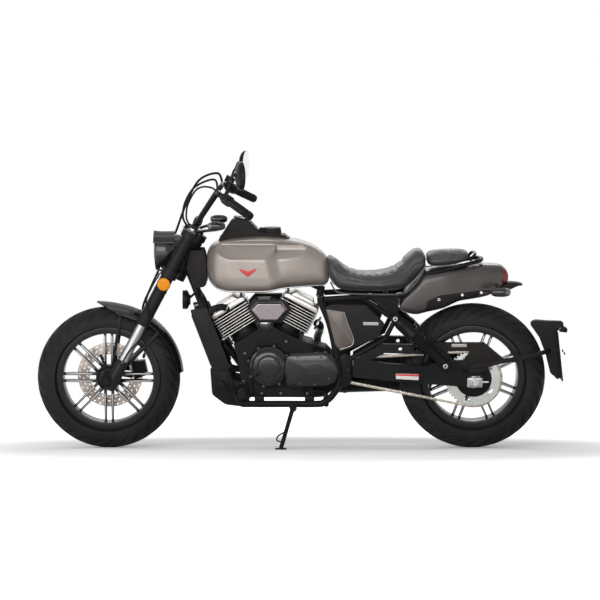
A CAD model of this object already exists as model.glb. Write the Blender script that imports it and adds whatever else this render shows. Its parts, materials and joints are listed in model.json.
"""A cruiser motorcycle's visible surfaces, built round its packed construction model.

Shapes are worked out in millimetres in one of two frames: the upright machine (X forward from
mid-wheelbase, Y left, Z up) or the fork (X ahead of the steering axis, Z up along it).
Both frames are found from the packed joints, and Place turns them into metres in the model's frame.
"""

import json

import bmesh
import bpy
import numpy as np
from bpy.props import FloatProperty, FloatVectorProperty, IntProperty, PointerProperty
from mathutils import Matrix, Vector


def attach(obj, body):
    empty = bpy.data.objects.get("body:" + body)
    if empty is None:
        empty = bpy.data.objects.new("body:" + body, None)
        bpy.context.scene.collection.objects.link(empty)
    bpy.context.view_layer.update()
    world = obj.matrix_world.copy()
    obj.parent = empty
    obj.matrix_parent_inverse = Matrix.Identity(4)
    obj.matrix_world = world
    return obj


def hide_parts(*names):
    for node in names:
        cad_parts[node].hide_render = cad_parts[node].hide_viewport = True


bl_info = {
    "name": "Cruiser motorcycle",
    "version": (1, 0, 0),
    "blender": (4, 5, 0),
    "location": "View3D > Sidebar > Cruiser",
    "description": "Builds the surfaces, finishes and studio of a cruiser motorcycle",
    "category": "Object",
}

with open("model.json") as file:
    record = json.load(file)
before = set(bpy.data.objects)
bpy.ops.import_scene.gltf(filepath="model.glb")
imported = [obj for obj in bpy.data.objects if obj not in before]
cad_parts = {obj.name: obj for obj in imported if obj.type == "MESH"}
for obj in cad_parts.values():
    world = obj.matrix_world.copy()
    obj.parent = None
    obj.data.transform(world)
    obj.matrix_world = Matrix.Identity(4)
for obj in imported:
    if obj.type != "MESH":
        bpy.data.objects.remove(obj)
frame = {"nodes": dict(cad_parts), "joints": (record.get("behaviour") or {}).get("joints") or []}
NODES = frame["nodes"]
JOINTS = {joint["name"]: joint for joint in frame["joints"]}
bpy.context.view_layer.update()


# ------------------------------------------------------------------ frames


class Place:
    """A frame in the model: an origin in metres and three unit axes as rows."""

    def __init__(self, origin, axes):
        self.origin = np.asarray(origin, float)
        self.axes = np.asarray(axes, float)

    def __call__(self, points):
        """Millimetre points of this frame as metre points of the model."""
        return self.origin + np.asarray(points, float) * 0.001 @ self.axes

    def local(self, points):
        """Metre points of the model as millimetre points of this frame."""
        return (np.asarray(points, float) - self.origin) @ self.axes.T * 1000

    def at(self, point, axes):
        """A frame moved to a point of this one, in millimetres, and turned by axes given in it."""
        return Place(self(point), np.asarray(axes, float) @ self.axes)


def machine_frame():
    """The upright machine's frame: Y is the wheels' axis, and the origin is on the floor plane."""
    front, rear = (np.array(JOINTS[n]["pos_m"]) for n in ("front_wheel_spin", "rear_wheel_spin"))
    side = np.array(JOINTS["front_wheel_spin"]["axis"])
    ahead = np.array([1.0, 0.0, 0.0])
    up = np.cross(ahead, side)
    down = front - up * front[2] / up[2]
    return Place([(front[0] + rear[0]) / 2, down[1], 0], [ahead, side, up])


def fork_frame():
    """The fork's frame: Z is the steering axis, and the origin is level with the front axle."""
    steering = JOINTS["steering"]
    pivot, up = np.array(steering["pos_m"]), np.array(steering["axis"])
    up = up / np.linalg.norm(up)
    axle = np.array(JOINTS["front_wheel_spin"]["pos_m"])
    side = np.array(JOINTS["front_wheel_spin"]["axis"])
    ahead = np.cross(side, up)
    return Place(pivot + up * np.dot(axle - pivot, up), [ahead, side, up])


BIKE = machine_frame()
FORK = fork_frame()


def bike_point(place, point):
    """A point of a frame, in the upright machine's millimetres."""
    return BIKE.local(place(point))


def joint_point(name):
    """A joint's place, in the upright machine's millimetres."""
    return BIKE.local(JOINTS[name]["pos_m"])


AXLE = {end: joint_point(end + "_wheel_spin") for end in ("front", "rear")}


# ------------------------------------------------------------------ what a user may change


def colour_setting(name, description, default):
    """A colour that a user may change."""
    return FloatVectorProperty(
        name=name, description=description, subtype="COLOR", size=3, min=0, max=1, default=default)


class CruiserColours(bpy.types.PropertyGroup):
    """Colours of the machine's finishes, as linear values"""

    tank: colour_setting("Tank", "Satin metallic paint of the fuel tank", (0.258, 0.228, 0.206))
    cowl: colour_setting("Cowl", "Dark metallic paint of the tail and inserts", (0.060, 0.053, 0.051))
    frame: colour_setting("Frame", "Satin paint of the frame and swingarm", (0.010, 0.010, 0.0105))
    engine: colour_setting("Engine", "Black coating of the engine", (0.014, 0.0125, 0.0115))
    leather: colour_setting("Seat leather", "Cover of both seats", (0.030, 0.030, 0.032))
    alloy: colour_setting("Bright alloy", "Polished alloy of rocker covers and sliders", (0.72, 0.72, 0.73))
    reflector: colour_setting("Reflector", "Amber side reflector", (0.68, 0.235, 0.0))


class CruiserSizes(bpy.types.PropertyGroup):
    """Sizes of what is built on the construction model"""

    tread_depth: FloatProperty(
        name="Tread depth", description="Depth of the tyre grooves",
        unit="LENGTH", min=0.001, max=0.008, default=0.0045)
    spring_wire: FloatProperty(
        name="Spring wire", description="Wire diameter of the rear springs",
        unit="LENGTH", min=0.005, max=0.012, default=0.0085)
    spring_turns: IntProperty(
        name="Spring turns", description="Turns of the rear springs", min=4, max=12, default=8)
    channel_depth: FloatProperty(
        name="Channel depth", description="Depth of the sewn channels in the seats",
        unit="LENGTH", min=0.0, max=0.008, default=0.0045)
    spoke_pairs: IntProperty(
        name="Spoke pairs", description="Twin spokes in each wheel", min=5, max=10, default=8)


class CruiserStage(bpy.types.PropertyGroup):
    """Camera and lamps"""

    lens: FloatProperty(
        name="Focal length", description="Camera focal length in millimetres",
        unit="CAMERA", min=20, max=300, default=141.2)
    distance: FloatProperty(
        name="Camera distance", description="Camera distance from the model's middle",
        unit="LENGTH", min=2, max=30, default=9.839)
    height: FloatProperty(
        name="Camera height", description="Camera height over the floor",
        unit="LENGTH", min=0.05, max=3, default=0.37)
    pitch: FloatProperty(
        name="Pitch", description="How far the camera looks up",
        subtype="ANGLE", min=-0.5, max=0.5, default=float(np.radians(1.46)))
    lamp_power: FloatProperty(
        name="Lamp power", description="Power that the lamps take their shares of, in watts",
        min=0, max=1000, default=215)
    world_level: FloatProperty(
        name="World level", description="How strongly the plain world lights the machine",
        min=0, max=1, default=0.25)
    floor_glow: FloatProperty(
        name="Floor glow", description="How much white the floor under the machine adds for the camera",
        min=0, max=1, default=0.0)
    floor_white: FloatProperty(
        name="Floor white", description="How pale the floor's colour is for the camera",
        min=0, max=4, default=1.35)


def colours():
    """The finishes' colours that the panel shows."""
    return bpy.context.scene.cruiser_colours


def sizes():
    """The sizes that the panel shows."""
    return bpy.context.scene.cruiser_sizes


# ------------------------------------------------------------------ finishes


def shader_node(tree, kind, sockets, **settings):
    """A new shader node: its settings first, then each socket is linked to another or given its value."""
    made = tree.nodes.new("ShaderNode" + kind)
    for name, value in settings.items():
        setattr(made, name, value)
    for name, value in sockets.items():
        if isinstance(value, bpy.types.NodeSocket):
            tree.links.new(value, made.inputs[name])
        else:
            made.inputs[name].default_value = value
    return made


def add_bump(tree, height, distance, strength):
    """Bump from a height socket, on a finish's shader."""
    bump = shader_node(tree, "Bump", {"Strength": strength, "Distance": distance, "Height": height})
    tree.links.new(bump.outputs["Normal"], tree.nodes["Principled BSDF"].inputs["Normal"])


def finish(name, colour, roughness, metallic=0.0, **look):
    """A node material: noise varies the colour and roughness a little and gives the bump.

    look may hold grain (size of one speck in metres), bump (height in metres), strength (of the
    bump), vary (share of the colour), rough_vary, coat, sheen, specular, leather (True for
    cell-shaped grain) and edge (how much lighter worn edges are).
    """
    name = "cruiser_" + name
    if name in bpy.data.materials:
        return bpy.data.materials[name]
    mat = bpy.data.materials.new(name)
    mat.use_nodes = True
    mat.diffuse_color = (*colour, 1)
    tree = mat.node_tree
    shader = tree.nodes["Principled BSDF"]
    levels = {"Metallic": metallic, "Coat Weight": look.get("coat", 0.0), "Coat Roughness": 0.08,
              "Specular IOR Level": look.get("specular", 0.5), "Sheen Weight": look.get("sheen", 0.0),
              "Sheen Roughness": 0.4}
    for socket, value in levels.items():
        shader.inputs[socket].default_value = value
    space = shader_node(tree, "TexCoord", {}).outputs["Object"]

    def noise(size, detail):
        return shader_node(tree, "TexNoise", {"Scale": 1 / size, "Detail": detail,
                                              "Vector": space}).outputs["Fac"]

    def spread(source, low, high):
        sockets = {"From Min": 0.3, "From Max": 0.7, "To Min": low, "To Max": high, "Value": source}
        return shader_node(tree, "MapRange", sockets).outputs["Result"]

    def mixed(first, second, factor):
        sockets = {"A": first, "B": second, "Factor": factor}
        return shader_node(tree, "Mix", sockets, data_type="RGBA").outputs["Result"]

    def tint(scale, lift=0.0):
        return (*[min(1.0, c * scale + lift) for c in colour], 1)

    vary = look.get("vary", 0.12)
    base = mixed(tint(1 - vary), tint(1 + vary), spread(noise(0.11, 3), 0, 1))
    if look.get("edge"):
        sharpness = shader_node(tree, "NewGeometry", {}).outputs["Pointiness"]
        sockets = {"From Min": 0.52, "From Max": 0.62, "To Max": look["edge"], "Value": sharpness}
        worn = shader_node(tree, "MapRange", sockets).outputs["Result"]
        base = mixed(base, tint(2.0, 0.012), worn)
    tree.links.new(base, shader.inputs["Base Color"])
    shift = look.get("rough_vary", 0.06)
    rough = spread(noise(0.03, 4), roughness - shift, roughness + shift)
    tree.links.new(rough, shader.inputs["Roughness"])
    if look.get("bump"):
        grain = look.get("grain", 0.004)
        if look.get("leather"):
            cells = shader_node(tree, "TexVoronoi", {"Vector": space}, feature="DISTANCE_TO_EDGE")
            cells.inputs["Scale"].default_value = 1 / grain
            height = cells.outputs["Distance"]
        else:
            height = noise(grain, 2)
        add_bump(tree, height, look["bump"], look.get("strength", 0.5))
    return mat


def ground_steel(name, colour, axis_point):
    """Steel ground in rings round a point of the machine: a ring wave gives the bump of fine grooves."""
    mat = finish(name, colour, 0.3, 1.0, vary=0.1, edge=0.3)
    tree = mat.node_tree
    if "rings" in tree.nodes:
        return mat
    space = next(n for n in tree.nodes if n.type == "TEX_COORD").outputs["Object"]
    shift = shader_node(tree, "VectorMath", {0: space, 1: tuple(BIKE(axis_point))}, operation="SUBTRACT")
    rings = shader_node(tree, "TexWave", {"Scale": 180, "Distortion": 1.5, "Vector": shift.outputs["Vector"]},
                        name="rings", wave_type="RINGS", rings_direction="SPHERICAL")
    add_bump(tree, rings.outputs["Color"], 0.0002, 0.4)
    return mat


def clear_glass(name, colour):
    """A clear lens: transmission with a faint ripple."""
    mat = finish(name, colour, 0.05, vary=0.03, rough_vary=0.01, grain=0.02, bump=0.0002)
    shader = mat.node_tree.nodes["Principled BSDF"]
    shader.inputs["Transmission Weight"].default_value = 1.0
    shader.inputs["IOR"].default_value = 1.46
    return mat


def tank_paint():
    return finish("tank_paint", tuple(colours().tank), 0.38, 0.45, vary=0.04, grain=0.0007, bump=0.00003,
                  rough_vary=0.03, strength=0.25, specular=0.2)


def cowl_paint():
    return finish("cowl_paint", tuple(colours().cowl), 0.32, 0.3, vary=0.08, grain=0.0008, bump=0.00003,
                  coat=0.1, rough_vary=0.04, strength=0.25, specular=0.2)


def frame_paint():
    return finish("frame_paint", tuple(colours().frame), 0.42, vary=0.15, grain=0.002, bump=0.00012,
                  edge=0.25, specular=0.06)


def engine_black():
    return finish("engine_black", tuple(colours().engine), 0.24, vary=0.2, grain=0.0012, bump=0.00006,
                  edge=0.4, specular=0.12)


def cast_black():
    return finish("cast_black", (0.007, 0.0065, 0.006), 0.5, vary=0.25, grain=0.0009, bump=0.0002, edge=0.4,
                  specular=0.05)


def black_metal():
    return finish("black_metal", (0.006, 0.006, 0.0063), 0.34, vary=0.15, grain=0.002, bump=0.00006,
                  edge=0.25, specular=0.09)


def gloss_black():
    return finish("gloss_black", (0.008, 0.008, 0.0085), 0.16, vary=0.1, rough_vary=0.03, grain=0.01,
                  bump=0.00003, specular=0.42)


def dark_plastic():
    return finish("dark_plastic", (0.020, 0.0185, 0.0178), 0.46, vary=0.1, grain=0.0008, bump=0.00015,
                  strength=0.6, specular=0.05)


def bright_alloy():
    return finish("bright_alloy", tuple(colours().alloy), 0.2, 1.0, vary=0.06, grain=0.0015, bump=0.00004)


def satin_alloy():
    return finish("satin_alloy", (0.26, 0.26, 0.265), 0.38, 1.0, grain=0.0012, bump=0.00012, edge=0.3)


def cover_alloy():
    return finish("cover_alloy", (0.44, 0.425, 0.41), 0.36, 0.8, vary=0.06, grain=0.002, bump=0.00004)


def brushed_plate():
    return finish("brushed_plate", (0.16, 0.143, 0.152), 0.3, 0.95, vary=0.06, grain=0.0009, bump=0.00005,
                  edge=0.25)


def satin_dark():
    return finish("satin_dark", (0.05, 0.05, 0.052), 0.45, 0.6, vary=0.2, grain=0.001, bump=0.0001, edge=0.4)


def header_steel():
    return finish("header_steel", (0.05, 0.045, 0.042), 0.38, 0.8, vary=0.35, grain=0.002, bump=0.0001)


def plated_steel():
    return finish("plated_steel", (0.45, 0.44, 0.42), 0.28, 1.0, grain=0.003, bump=0.00005)


def chain_steel():
    return finish("chain_steel", (0.30, 0.275, 0.235), 0.38, 1.0, vary=0.3, grain=0.003, bump=0.0001,
                  edge=0.4)


def seat_leather():
    return finish("seat_leather", tuple(colours().leather), 0.46, vary=0.14, grain=0.0024, bump=0.0004,
                  leather=True, sheen=0.08, strength=0.6, specular=0.35)


def side_leather():
    return finish("side_leather", (0.040, 0.037, 0.037), 0.44, vary=0.14, grain=0.002, bump=0.0003,
                  leather=True, sheen=0.2)


def tyre_rubber():
    return finish("tyre_rubber", (0.016, 0.0155, 0.0155), 0.56, vary=0.25, grain=0.0012, bump=0.00025,
                  edge=0.2, rough_vary=0.08, specular=0.08)


def soft_rubber():
    return finish("soft_rubber", (0.012, 0.012, 0.012), 0.58, vary=0.2, grain=0.001, bump=0.00015,
                  specular=0.08)


def wheel_paint():
    return finish("wheel_paint", (0.010, 0.010, 0.011), 0.24, vary=0.15, grain=0.003,
                  bump=0.00004, edge=0.3, specular=0.2)


def mirror_glass():
    return finish("mirror_glass", (0.82, 0.84, 0.86), 0.04, 1.0, vary=0.02, rough_vary=0.02)


def amber_lens():
    return finish("amber_lens", tuple(colours().reflector), 0.3, coat=0.1, specular=0.15, grain=0.0018,
                  bump=0.0004)


def smoked_lens():
    return finish("smoked_lens", (0.07, 0.07, 0.075), 0.1, 0.3, vary=0.15, coat=0.9, grain=0.004, bump=0.0003)


def red_lens():
    return finish("red_lens", (0.16, 0.006, 0.006), 0.16, vary=0.15, coat=0.1, specular=0.3, grain=0.003,
                  bump=0.0004)


def blank_label(name, colour):
    """A blank sticker patch."""
    return finish(name, colour, 0.35, vary=0.05, grain=0.006, bump=0.00002, coat=0.3)


NODE_FINISH = {
    "frame": frame_paint, "subframe": frame_paint, "swingarm": frame_paint, "engine_cases": cast_black,
    "engine_covers": engine_black, "cylinders": engine_black, "rocker_covers": bright_alloy,
    "air_cleaner": dark_plastic, "radiator": black_metal, "radiator_shroud": dark_plastic,
    "horn": black_metal, "tank_console": dark_plastic, "grab_rail": black_metal,
    "side_covers": dark_plastic, "chain_guard": dark_plastic, "rear_mudguard": dark_plastic,
    "plate_carrier": dark_plastic, "foot_controls": black_metal, "rear_brake": cast_black,
    "rear_axle": plated_steel, "fork_tubes": black_metal, "fork_sliders": bright_alloy,
    "fork_yokes": black_metal, "handlebar": black_metal, "grips": soft_rubber, "hand_controls": black_metal,
    "front_brake": cast_black, "front_indicators": gloss_black, "front_axle": black_metal,
    "front_rim": wheel_paint, "rear_rim": wheel_paint, "side_stand": black_metal, "fuel_cap": dark_plastic,
    "exhaust": black_metal, "rear_lamps": smoked_lens, "mirrors": black_metal, "headlight": gloss_black,
    "front_fender": gloss_black, "tail_cowl": cowl_paint, "rear_shocks": black_metal,
    "drive_chain": chain_steel, "rider_seat": seat_leather, "pillion_seat": seat_leather,
    "fuel_tank": tank_paint, "front_tyre": tyre_rubber, "rear_tyre": tyre_rubber,
    "front_cables": soft_rubber, "rear_sprocket": plated_steel, "front_disc": plated_steel,
    "rear_disc": plated_steel,
}


def dress_nodes():
    """Each construction node takes its own finish and smooth faces up to sharp edges."""
    for name, make in NODE_FINISH.items():
        node = NODES[name]
        node.data.materials.clear()
        node.data.materials.append(make())
        node.data.polygons.foreach_set("material_index", np.zeros(len(node.data.polygons), np.int32))


# ------------------------------------------------------------------ surfaces as arrays


AHEAD, LEFT, UP = (1, 0, 0), (0, 1, 0), (0, 0, 1)
FLIP = np.array([1, -1, 1])


def full_turn(count):
    """Angles evenly round a circle."""
    return np.linspace(0, 2 * np.pi, count, endpoint=False)


def sheet(points, wrap_u=False, wrap_v=False, caps=False):
    """Faces over a grid of points (m, n, 3): quads between neighbours, with fans closing the first
    and last rows when caps is set. Returns (vertices, faces)."""
    points = np.asarray(points, float)
    m, n = points.shape[:2]
    verts = points.reshape(-1, 3)
    i, j = np.meshgrid(np.arange(m if wrap_u else m - 1), np.arange(n if wrap_v else n - 1), indexing="ij")
    i2, j2 = (i + 1) % m, (j + 1) % n
    quads = np.stack([i * n + j, i2 * n + j, i2 * n + j2, i * n + j2], -1).reshape(-1, 4)
    faces = quads.tolist()
    if caps:
        ring = np.arange(n)
        for row, turn in ((0, 1), (m - 1, -1)):
            centre = len(verts)
            verts = np.vstack([verts, points[row].mean(0)])
            pairs = np.stack([row * n + ring, row * n + (ring + 1) % n][::turn], -1)
            faces += np.column_stack([pairs, np.full(n, centre)]).tolist()
    return verts, faces


def skin(rings):
    """A closed form over rings of points, with both ends closed."""
    return sheet(np.array(rings), wrap_v=True, caps=True)


def joined(*parts):
    """Several (vertices, faces) as one."""
    verts, faces, start = [], [], 0
    for part_verts, part_faces in parts:
        verts.append(part_verts)
        faces += [[k + start for k in face] for face in part_faces]
        start += len(part_verts)
    return np.vstack(verts), faces


def mirrored(*parts):
    """Parts joined with their mirror image over the middle plane, faces turned to stay outwards."""
    verts, faces = joined(*parts)
    return joined((verts, faces), (verts * FLIP, [face[::-1] for face in faces]))


def in_plane(outline, y):
    """(x, z) points as (x, y, z)."""
    return np.column_stack([outline[:, 0], np.full(len(outline), y), outline[:, 1]])


def signed_area(outline):
    """Twice a closed outline's area, positive where it runs from the first axis to the second."""
    p, after = outline, np.roll(outline, -1, 0)
    return np.sum(p[:, 0] * after[:, 1] - after[:, 0] * p[:, 1])


def unit(v):
    """Vectors of length one along the last axis."""
    return v / np.linalg.norm(v, axis=-1, keepdims=True)


def curve(points, steps=8):
    """A smooth run through points: the Catmull-Rom cubic of each four neighbours in turn."""
    p = np.asarray(points, float)
    p = np.vstack([2 * p[0] - p[1], p, 2 * p[-1] - p[-2]])
    a, b, c, d = (p[k:len(p) - 3 + k, None] for k in range(4))
    t = np.linspace(0, 1, steps, endpoint=False)[None, :, None]
    run = 0.5 * (2 * b + (c - a) * t + (2 * a - 5 * b + 4 * c - d) * t**2 + (3 * b - a - 3 * c + d) * t**3)
    run = run.reshape(-1, p.shape[1])
    return np.vstack([run, p[-2]])


def along(path, closed=False):
    """Frames along a path: two directions square to the run at each point, carried with no twist."""
    path = np.asarray(path, float)
    if closed:
        heading = unit(np.roll(path, -1, 0) - np.roll(path, 1, 0))
    else:
        heading = unit(np.gradient(path, axis=0))
    start = np.cross(heading[0], [0.3, 0.2, 0.93])
    side = [start / np.linalg.norm(start)]
    for h in heading[1:]:
        s = side[-1] - np.dot(side[-1], h) * h
        side.append(s / np.linalg.norm(s))
    side = np.array(side)
    return side, np.cross(heading, side)


def tube(path, radius, sides=20, closed=False, round_ends=0.0):
    """A round tube: the circle r(cos a, sin a) carried along the path. round_ends draws the ends in."""
    path = np.asarray(path, float)
    radius = np.broadcast_to(np.asarray(radius, float), len(path)).copy()
    if round_ends:
        first, last = unit(path[0] - path[1]), unit(path[-1] - path[-2])
        bow = np.array([1.0, 0.8, 0.35])
        reach = round_ends * np.sqrt(1 - bow**2 * 0.98)[::-1]
        path = np.vstack([path[0] + first * reach[:, None], path, path[-1] + last * reach[::-1][:, None]])
        radius = np.concatenate([radius[0] * bow[::-1], radius, radius[-1] * bow])
    side, up = along(path, closed)
    a = full_turn(sides)
    ring = np.cos(a)[None, :, None] * side[:, None] + np.sin(a)[None, :, None] * up[:, None]
    return sheet(path[:, None] + ring * radius[:, None, None], wrap_u=closed, wrap_v=True, caps=not closed)


def lathe(outline, centre, axis, sides=48, closed=False):
    """An outline of (radius, distance along the axis) turned round an axis through centre."""
    outline = np.asarray(outline, float)
    axis = unit(np.asarray(axis, float))
    first = unit(np.cross(axis, [0.13, 0.9, 0.41] if abs(axis[1]) < 0.9 else [1.0, 0.0, 0.0]))
    second = np.cross(axis, first)
    a = full_turn(sides)
    spoke = np.cos(a)[:, None] * first + np.sin(a)[:, None] * second
    points = np.asarray(centre) + outline[:, 1][:, None, None] * axis + outline[:, 0][:, None, None] * spoke
    return sheet(points, wrap_u=closed, wrap_v=True, caps=not closed)


def inset(outline, by):
    """A closed outline moved inwards: each corner goes along the mean of its two sides' normals."""
    p = np.asarray(outline, float)
    edge = unit(np.roll(p, -1, 0) - p)
    normal = np.stack([-edge[:, 1], edge[:, 0]], -1) * np.sign(signed_area(p))
    bisector = normal + np.roll(normal, 1, 0)
    scale = np.maximum((bisector**2).sum(-1) / 2, 0.5)
    return p + bisector / scale[:, None] * by


def softened(outline, radius, steps=4):
    """A closed outline with each corner rounded: a quadratic arc between points short of the corner."""
    p = np.asarray(outline, float)
    before, after = np.roll(p, 1, 0) - p, np.roll(p, -1, 0) - p
    shorter = np.minimum(np.linalg.norm(before, axis=1), np.linalg.norm(after, axis=1))
    reach = np.minimum(radius, 0.45 * shorter)
    start, end = p + unit(before) * reach[:, None], p + unit(after) * reach[:, None]
    t = np.linspace(0, 1, steps)[None, :, None]
    arc = (1 - t)**2 * start[:, None] + 2 * t * (1 - t) * p[:, None] + t**2 * end[:, None]
    return arc.reshape(-1, p.shape[1])


def plate(outline, y0, y1, bevel=1.5, corner=4.0):
    """A plate with rounded corners and edges: its (x, z) outline between two Y planes, drawn in by
    the bevel at each face."""
    shape = softened(outline, corner) if corner else np.asarray(outline, float)
    if signed_area(shape) < 0:
        shape = shape[::-1]
    rings = [in_plane(inset(shape, draw), y) for draw, y in
             ((bevel, y0), (bevel * 0.3, y0 + bevel * 0.3), (0, y0 + bevel),
              (0, y1 - bevel), (bevel * 0.3, y1 - bevel * 0.3), (bevel, y1))]
    return skin(rings)


def bar(path_ends, width, depth, up=UP, bevel=1.5, taper=1.0):
    """A straight bar with bevelled edges between two points; width is along up."""
    a, b = (np.asarray(p, float) for p in path_ends)
    run = unit(b - a)
    w = unit(np.asarray(up, float) - np.dot(up, run) * run)
    d = np.cross(run, w)
    half = np.array([[1, 1], [-1, 1], [-1, -1], [1, -1]]) * [width / 2, depth / 2]
    ring = softened(half, bevel * 2, 3)
    rings = [p + s * (ring[:, :1] * w + ring[:, 1:] * d)
             for p, s in ((a, 0.9), (a + run * bevel, 1.0), (b - run * bevel, taper), (b, taper * 0.9))]
    return skin(rings)


def hex_bolt(point, axis, across, height, socket=True):
    """A bolt's head: a drum with a drawn-in rim and a hexagonal socket, or a hexagon."""
    if socket:
        return lathe([[across / 2, 0], [across / 2, height * 0.8], [across * 0.42, height],
                      [across * 0.26, height], [across * 0.24, height * 0.4]], point, axis, 12)
    return lathe([[across / 2, 0], [across / 2, height * 0.85], [across * 0.44, height]], point, axis, 6)


def many(template, centres, axes):
    """Copies of a part at several places: centres (k, 3) and their axes (k, 3, 3) as rows."""
    verts, faces = template
    placed = np.asarray(centres)[:, None] + np.einsum("vi,kij->kvj", verts, np.asarray(axes))
    step = len(verts)
    all_faces = [[v + k * step for v in face] for k in range(len(placed)) for face in faces]
    return placed.reshape(-1, 3), all_faces


def piece(name, part, place, body, material, stands_for=(), sharp=38, slot=None):
    """Puts a part into a mesh object that rides on a body and may stand for construction nodes."""
    verts, faces = part
    mesh = bpy.data.meshes.new(name)
    mesh.from_pydata(place(verts).tolist(), [], faces)
    facing = bmesh.new()
    facing.from_mesh(mesh)
    bmesh.ops.recalc_face_normals(facing, faces=facing.faces)
    facing.to_mesh(mesh)
    facing.free()
    mesh.shade_smooth()
    mesh.set_sharp_from_angle(angle=float(np.radians(sharp)))
    obj = bpy.data.objects.new(name, mesh)
    bpy.context.scene.collection.objects.link(obj)
    mesh.materials.append(material)
    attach(obj, body)
    if stands_for:
        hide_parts(*([stands_for] if isinstance(stands_for, str) else stands_for))
    return obj


def chassis_piece(name, part, material, stands_for=(), **more):
    """A piece drawn in the machine's frame that rides on the chassis."""
    return piece(name, part, BIKE, "chassis", material, stands_for, **more)


def front_piece(name, part, material, stands_for=(), **more):
    """A piece drawn in the machine's frame that turns with the steering."""
    return piece(name, part, BIKE, "steering", material, stands_for, **more)


def fork_piece(name, part, material, stands_for=(), **more):
    """A piece drawn in the fork's frame that turns with the steering."""
    return piece(name, part, FORK, "steering", material, stands_for, **more)


def thicken(obj, wall):
    """Gives an open sheet its wall, half each way."""
    solid = obj.modifiers.new("wall", "SOLIDIFY")
    solid.thickness = wall
    solid.offset = 0
    bpy.context.view_layer.objects.active = obj
    bpy.ops.object.modifier_apply(modifier="wall")


def node_face(node, left=True):
    """The left face of a node in the machine's frame, or its right one: its largest or smallest Y."""
    mesh = NODES[node].data
    co = np.zeros(len(mesh.vertices) * 3)
    mesh.vertices.foreach_get("co", co)
    y = BIKE.local(co.reshape(-1, 3))[:, 1]
    return float(y.max() if left else y.min())


def step_between(value, low, high):
    """0 below low, 1 above high, and 3t^2 - 2t^3 between."""
    t = np.clip((value - low) / (high - low), 0, 1)
    return t * t * (3 - 2 * t)


def soft_min(a, b, width):
    """The smaller of two surfaces with their meeting rounded: half of a + b - sqrt((a - b)^2 + w^2)."""
    return 0.5 * (a + b - np.sqrt((a - b)**2 + width**2))


# ------------------------------------------------------------------ bodywork


def superellipse(bottom, top, half, power, count):
    """A closed cross-section: |y / half|^p + |(z - mid) / reach|^p = 1, as (y, z) around."""
    a = full_turn(count)
    c, s = np.cos(a), np.sin(a)
    y = half * np.sign(c) * np.abs(c)**(2 / power)
    z = (bottom + top) / 2 + (top - bottom) / 2 * np.sign(s) * np.abs(s)**(2 / power)
    return y, z


def superellipse_rings(stations, power, count, steps):
    """Superellipses at stations of (x, bottom, top, half width), smoothed along x."""
    rings = []
    for x, bottom, top, half in curve(stations, steps):
        y, z = superellipse(bottom, top, half, power, count)
        rings.append(np.column_stack([np.full(count, x), y, z]))
    return np.array(rings)


def loft(stations, power, count, steps):
    """A closed skin through superellipses."""
    return skin(superellipse_rings(stations, power, count, steps)[::-1])


# x, bottom, top, half width
TANK_SIDE = [
    (350, 768, 822, 34), (347, 752, 838, 62), (338, 724, 857, 88), (322, 698, 872, 112),
    (300, 680, 882, 130), (262, 670, 893, 146), (218, 668, 899, 155), (160, 668, 903, 158),
    (93, 670, 903, 157), (30, 683, 897, 150), (-40, 690, 884, 137), (-92, 694, 864, 122),
    (-128, 696, 840, 108), (-148, 702, 818, 92), (-158, 712, 796, 72), (-163, 728, 776, 44)]


def tank_shape():
    """The fuel tank: superellipse rings whose half width is the smaller of a full form and a flat
    side panel, with a facet that steps the rear half in along two slanting lines."""
    rings = superellipse_rings(TANK_SIDE, 3.4, 160, 10)
    x, y, z = np.moveaxis(rings, -1, 0)
    front_line = np.where(z < 817, 83 + (z - 690) * 31 / 127, 114 - (z - 817) * 1.45)
    rear_line = 20 + (z - 699) * 36 / 158
    facet = step_between(-x, -np.maximum(front_line, rear_line + 4), -rear_line)
    facet = facet * step_between(-z, -884, -846)
    panel = 148 - 1.0 * np.maximum(z - 817, 0) - 0.10 * np.maximum(740 - z, 0)
    width = soft_min(np.abs(y), panel + 30 * step_between(z, 870, 900), 2.5)
    width = np.where(np.abs(y) > 20, width, np.abs(y))
    width = width - facet * 26 * step_between(np.abs(y), 25, 110)
    rings[..., 1] = np.sign(y) * np.maximum(width, 0)
    return skin(rings[::-1])


def tank_pieces():
    """The tank with its lower seam and a blank badge on each side."""
    chassis_piece("tank_shell", tank_shape(), tank_paint(), "fuel_tank", sharp=50)
    x, bottom, top, half = curve(TANK_SIDE[1:14], 8).T
    run = np.column_stack([x + 1.5, 0.76 * half, (bottom + top) / 2 - 0.88 * (top - bottom) / 2 - 1.5])
    chassis_piece("tank_seam", mirrored(tube(run, 3.2, 8)), satin_alloy())
    wing = [(176, 770), (214, 782), (206, 770), (190, 756), (176, 746), (162, 756), (146, 770), (138, 782)]
    badge = mirrored(plate(wing, 148.5, 150.6, 0.5, 3))
    chassis_piece("tank_badge", badge, blank_label("badge_red", (0.45, 0.02, 0.02)), slot="lamp_plastic")


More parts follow.
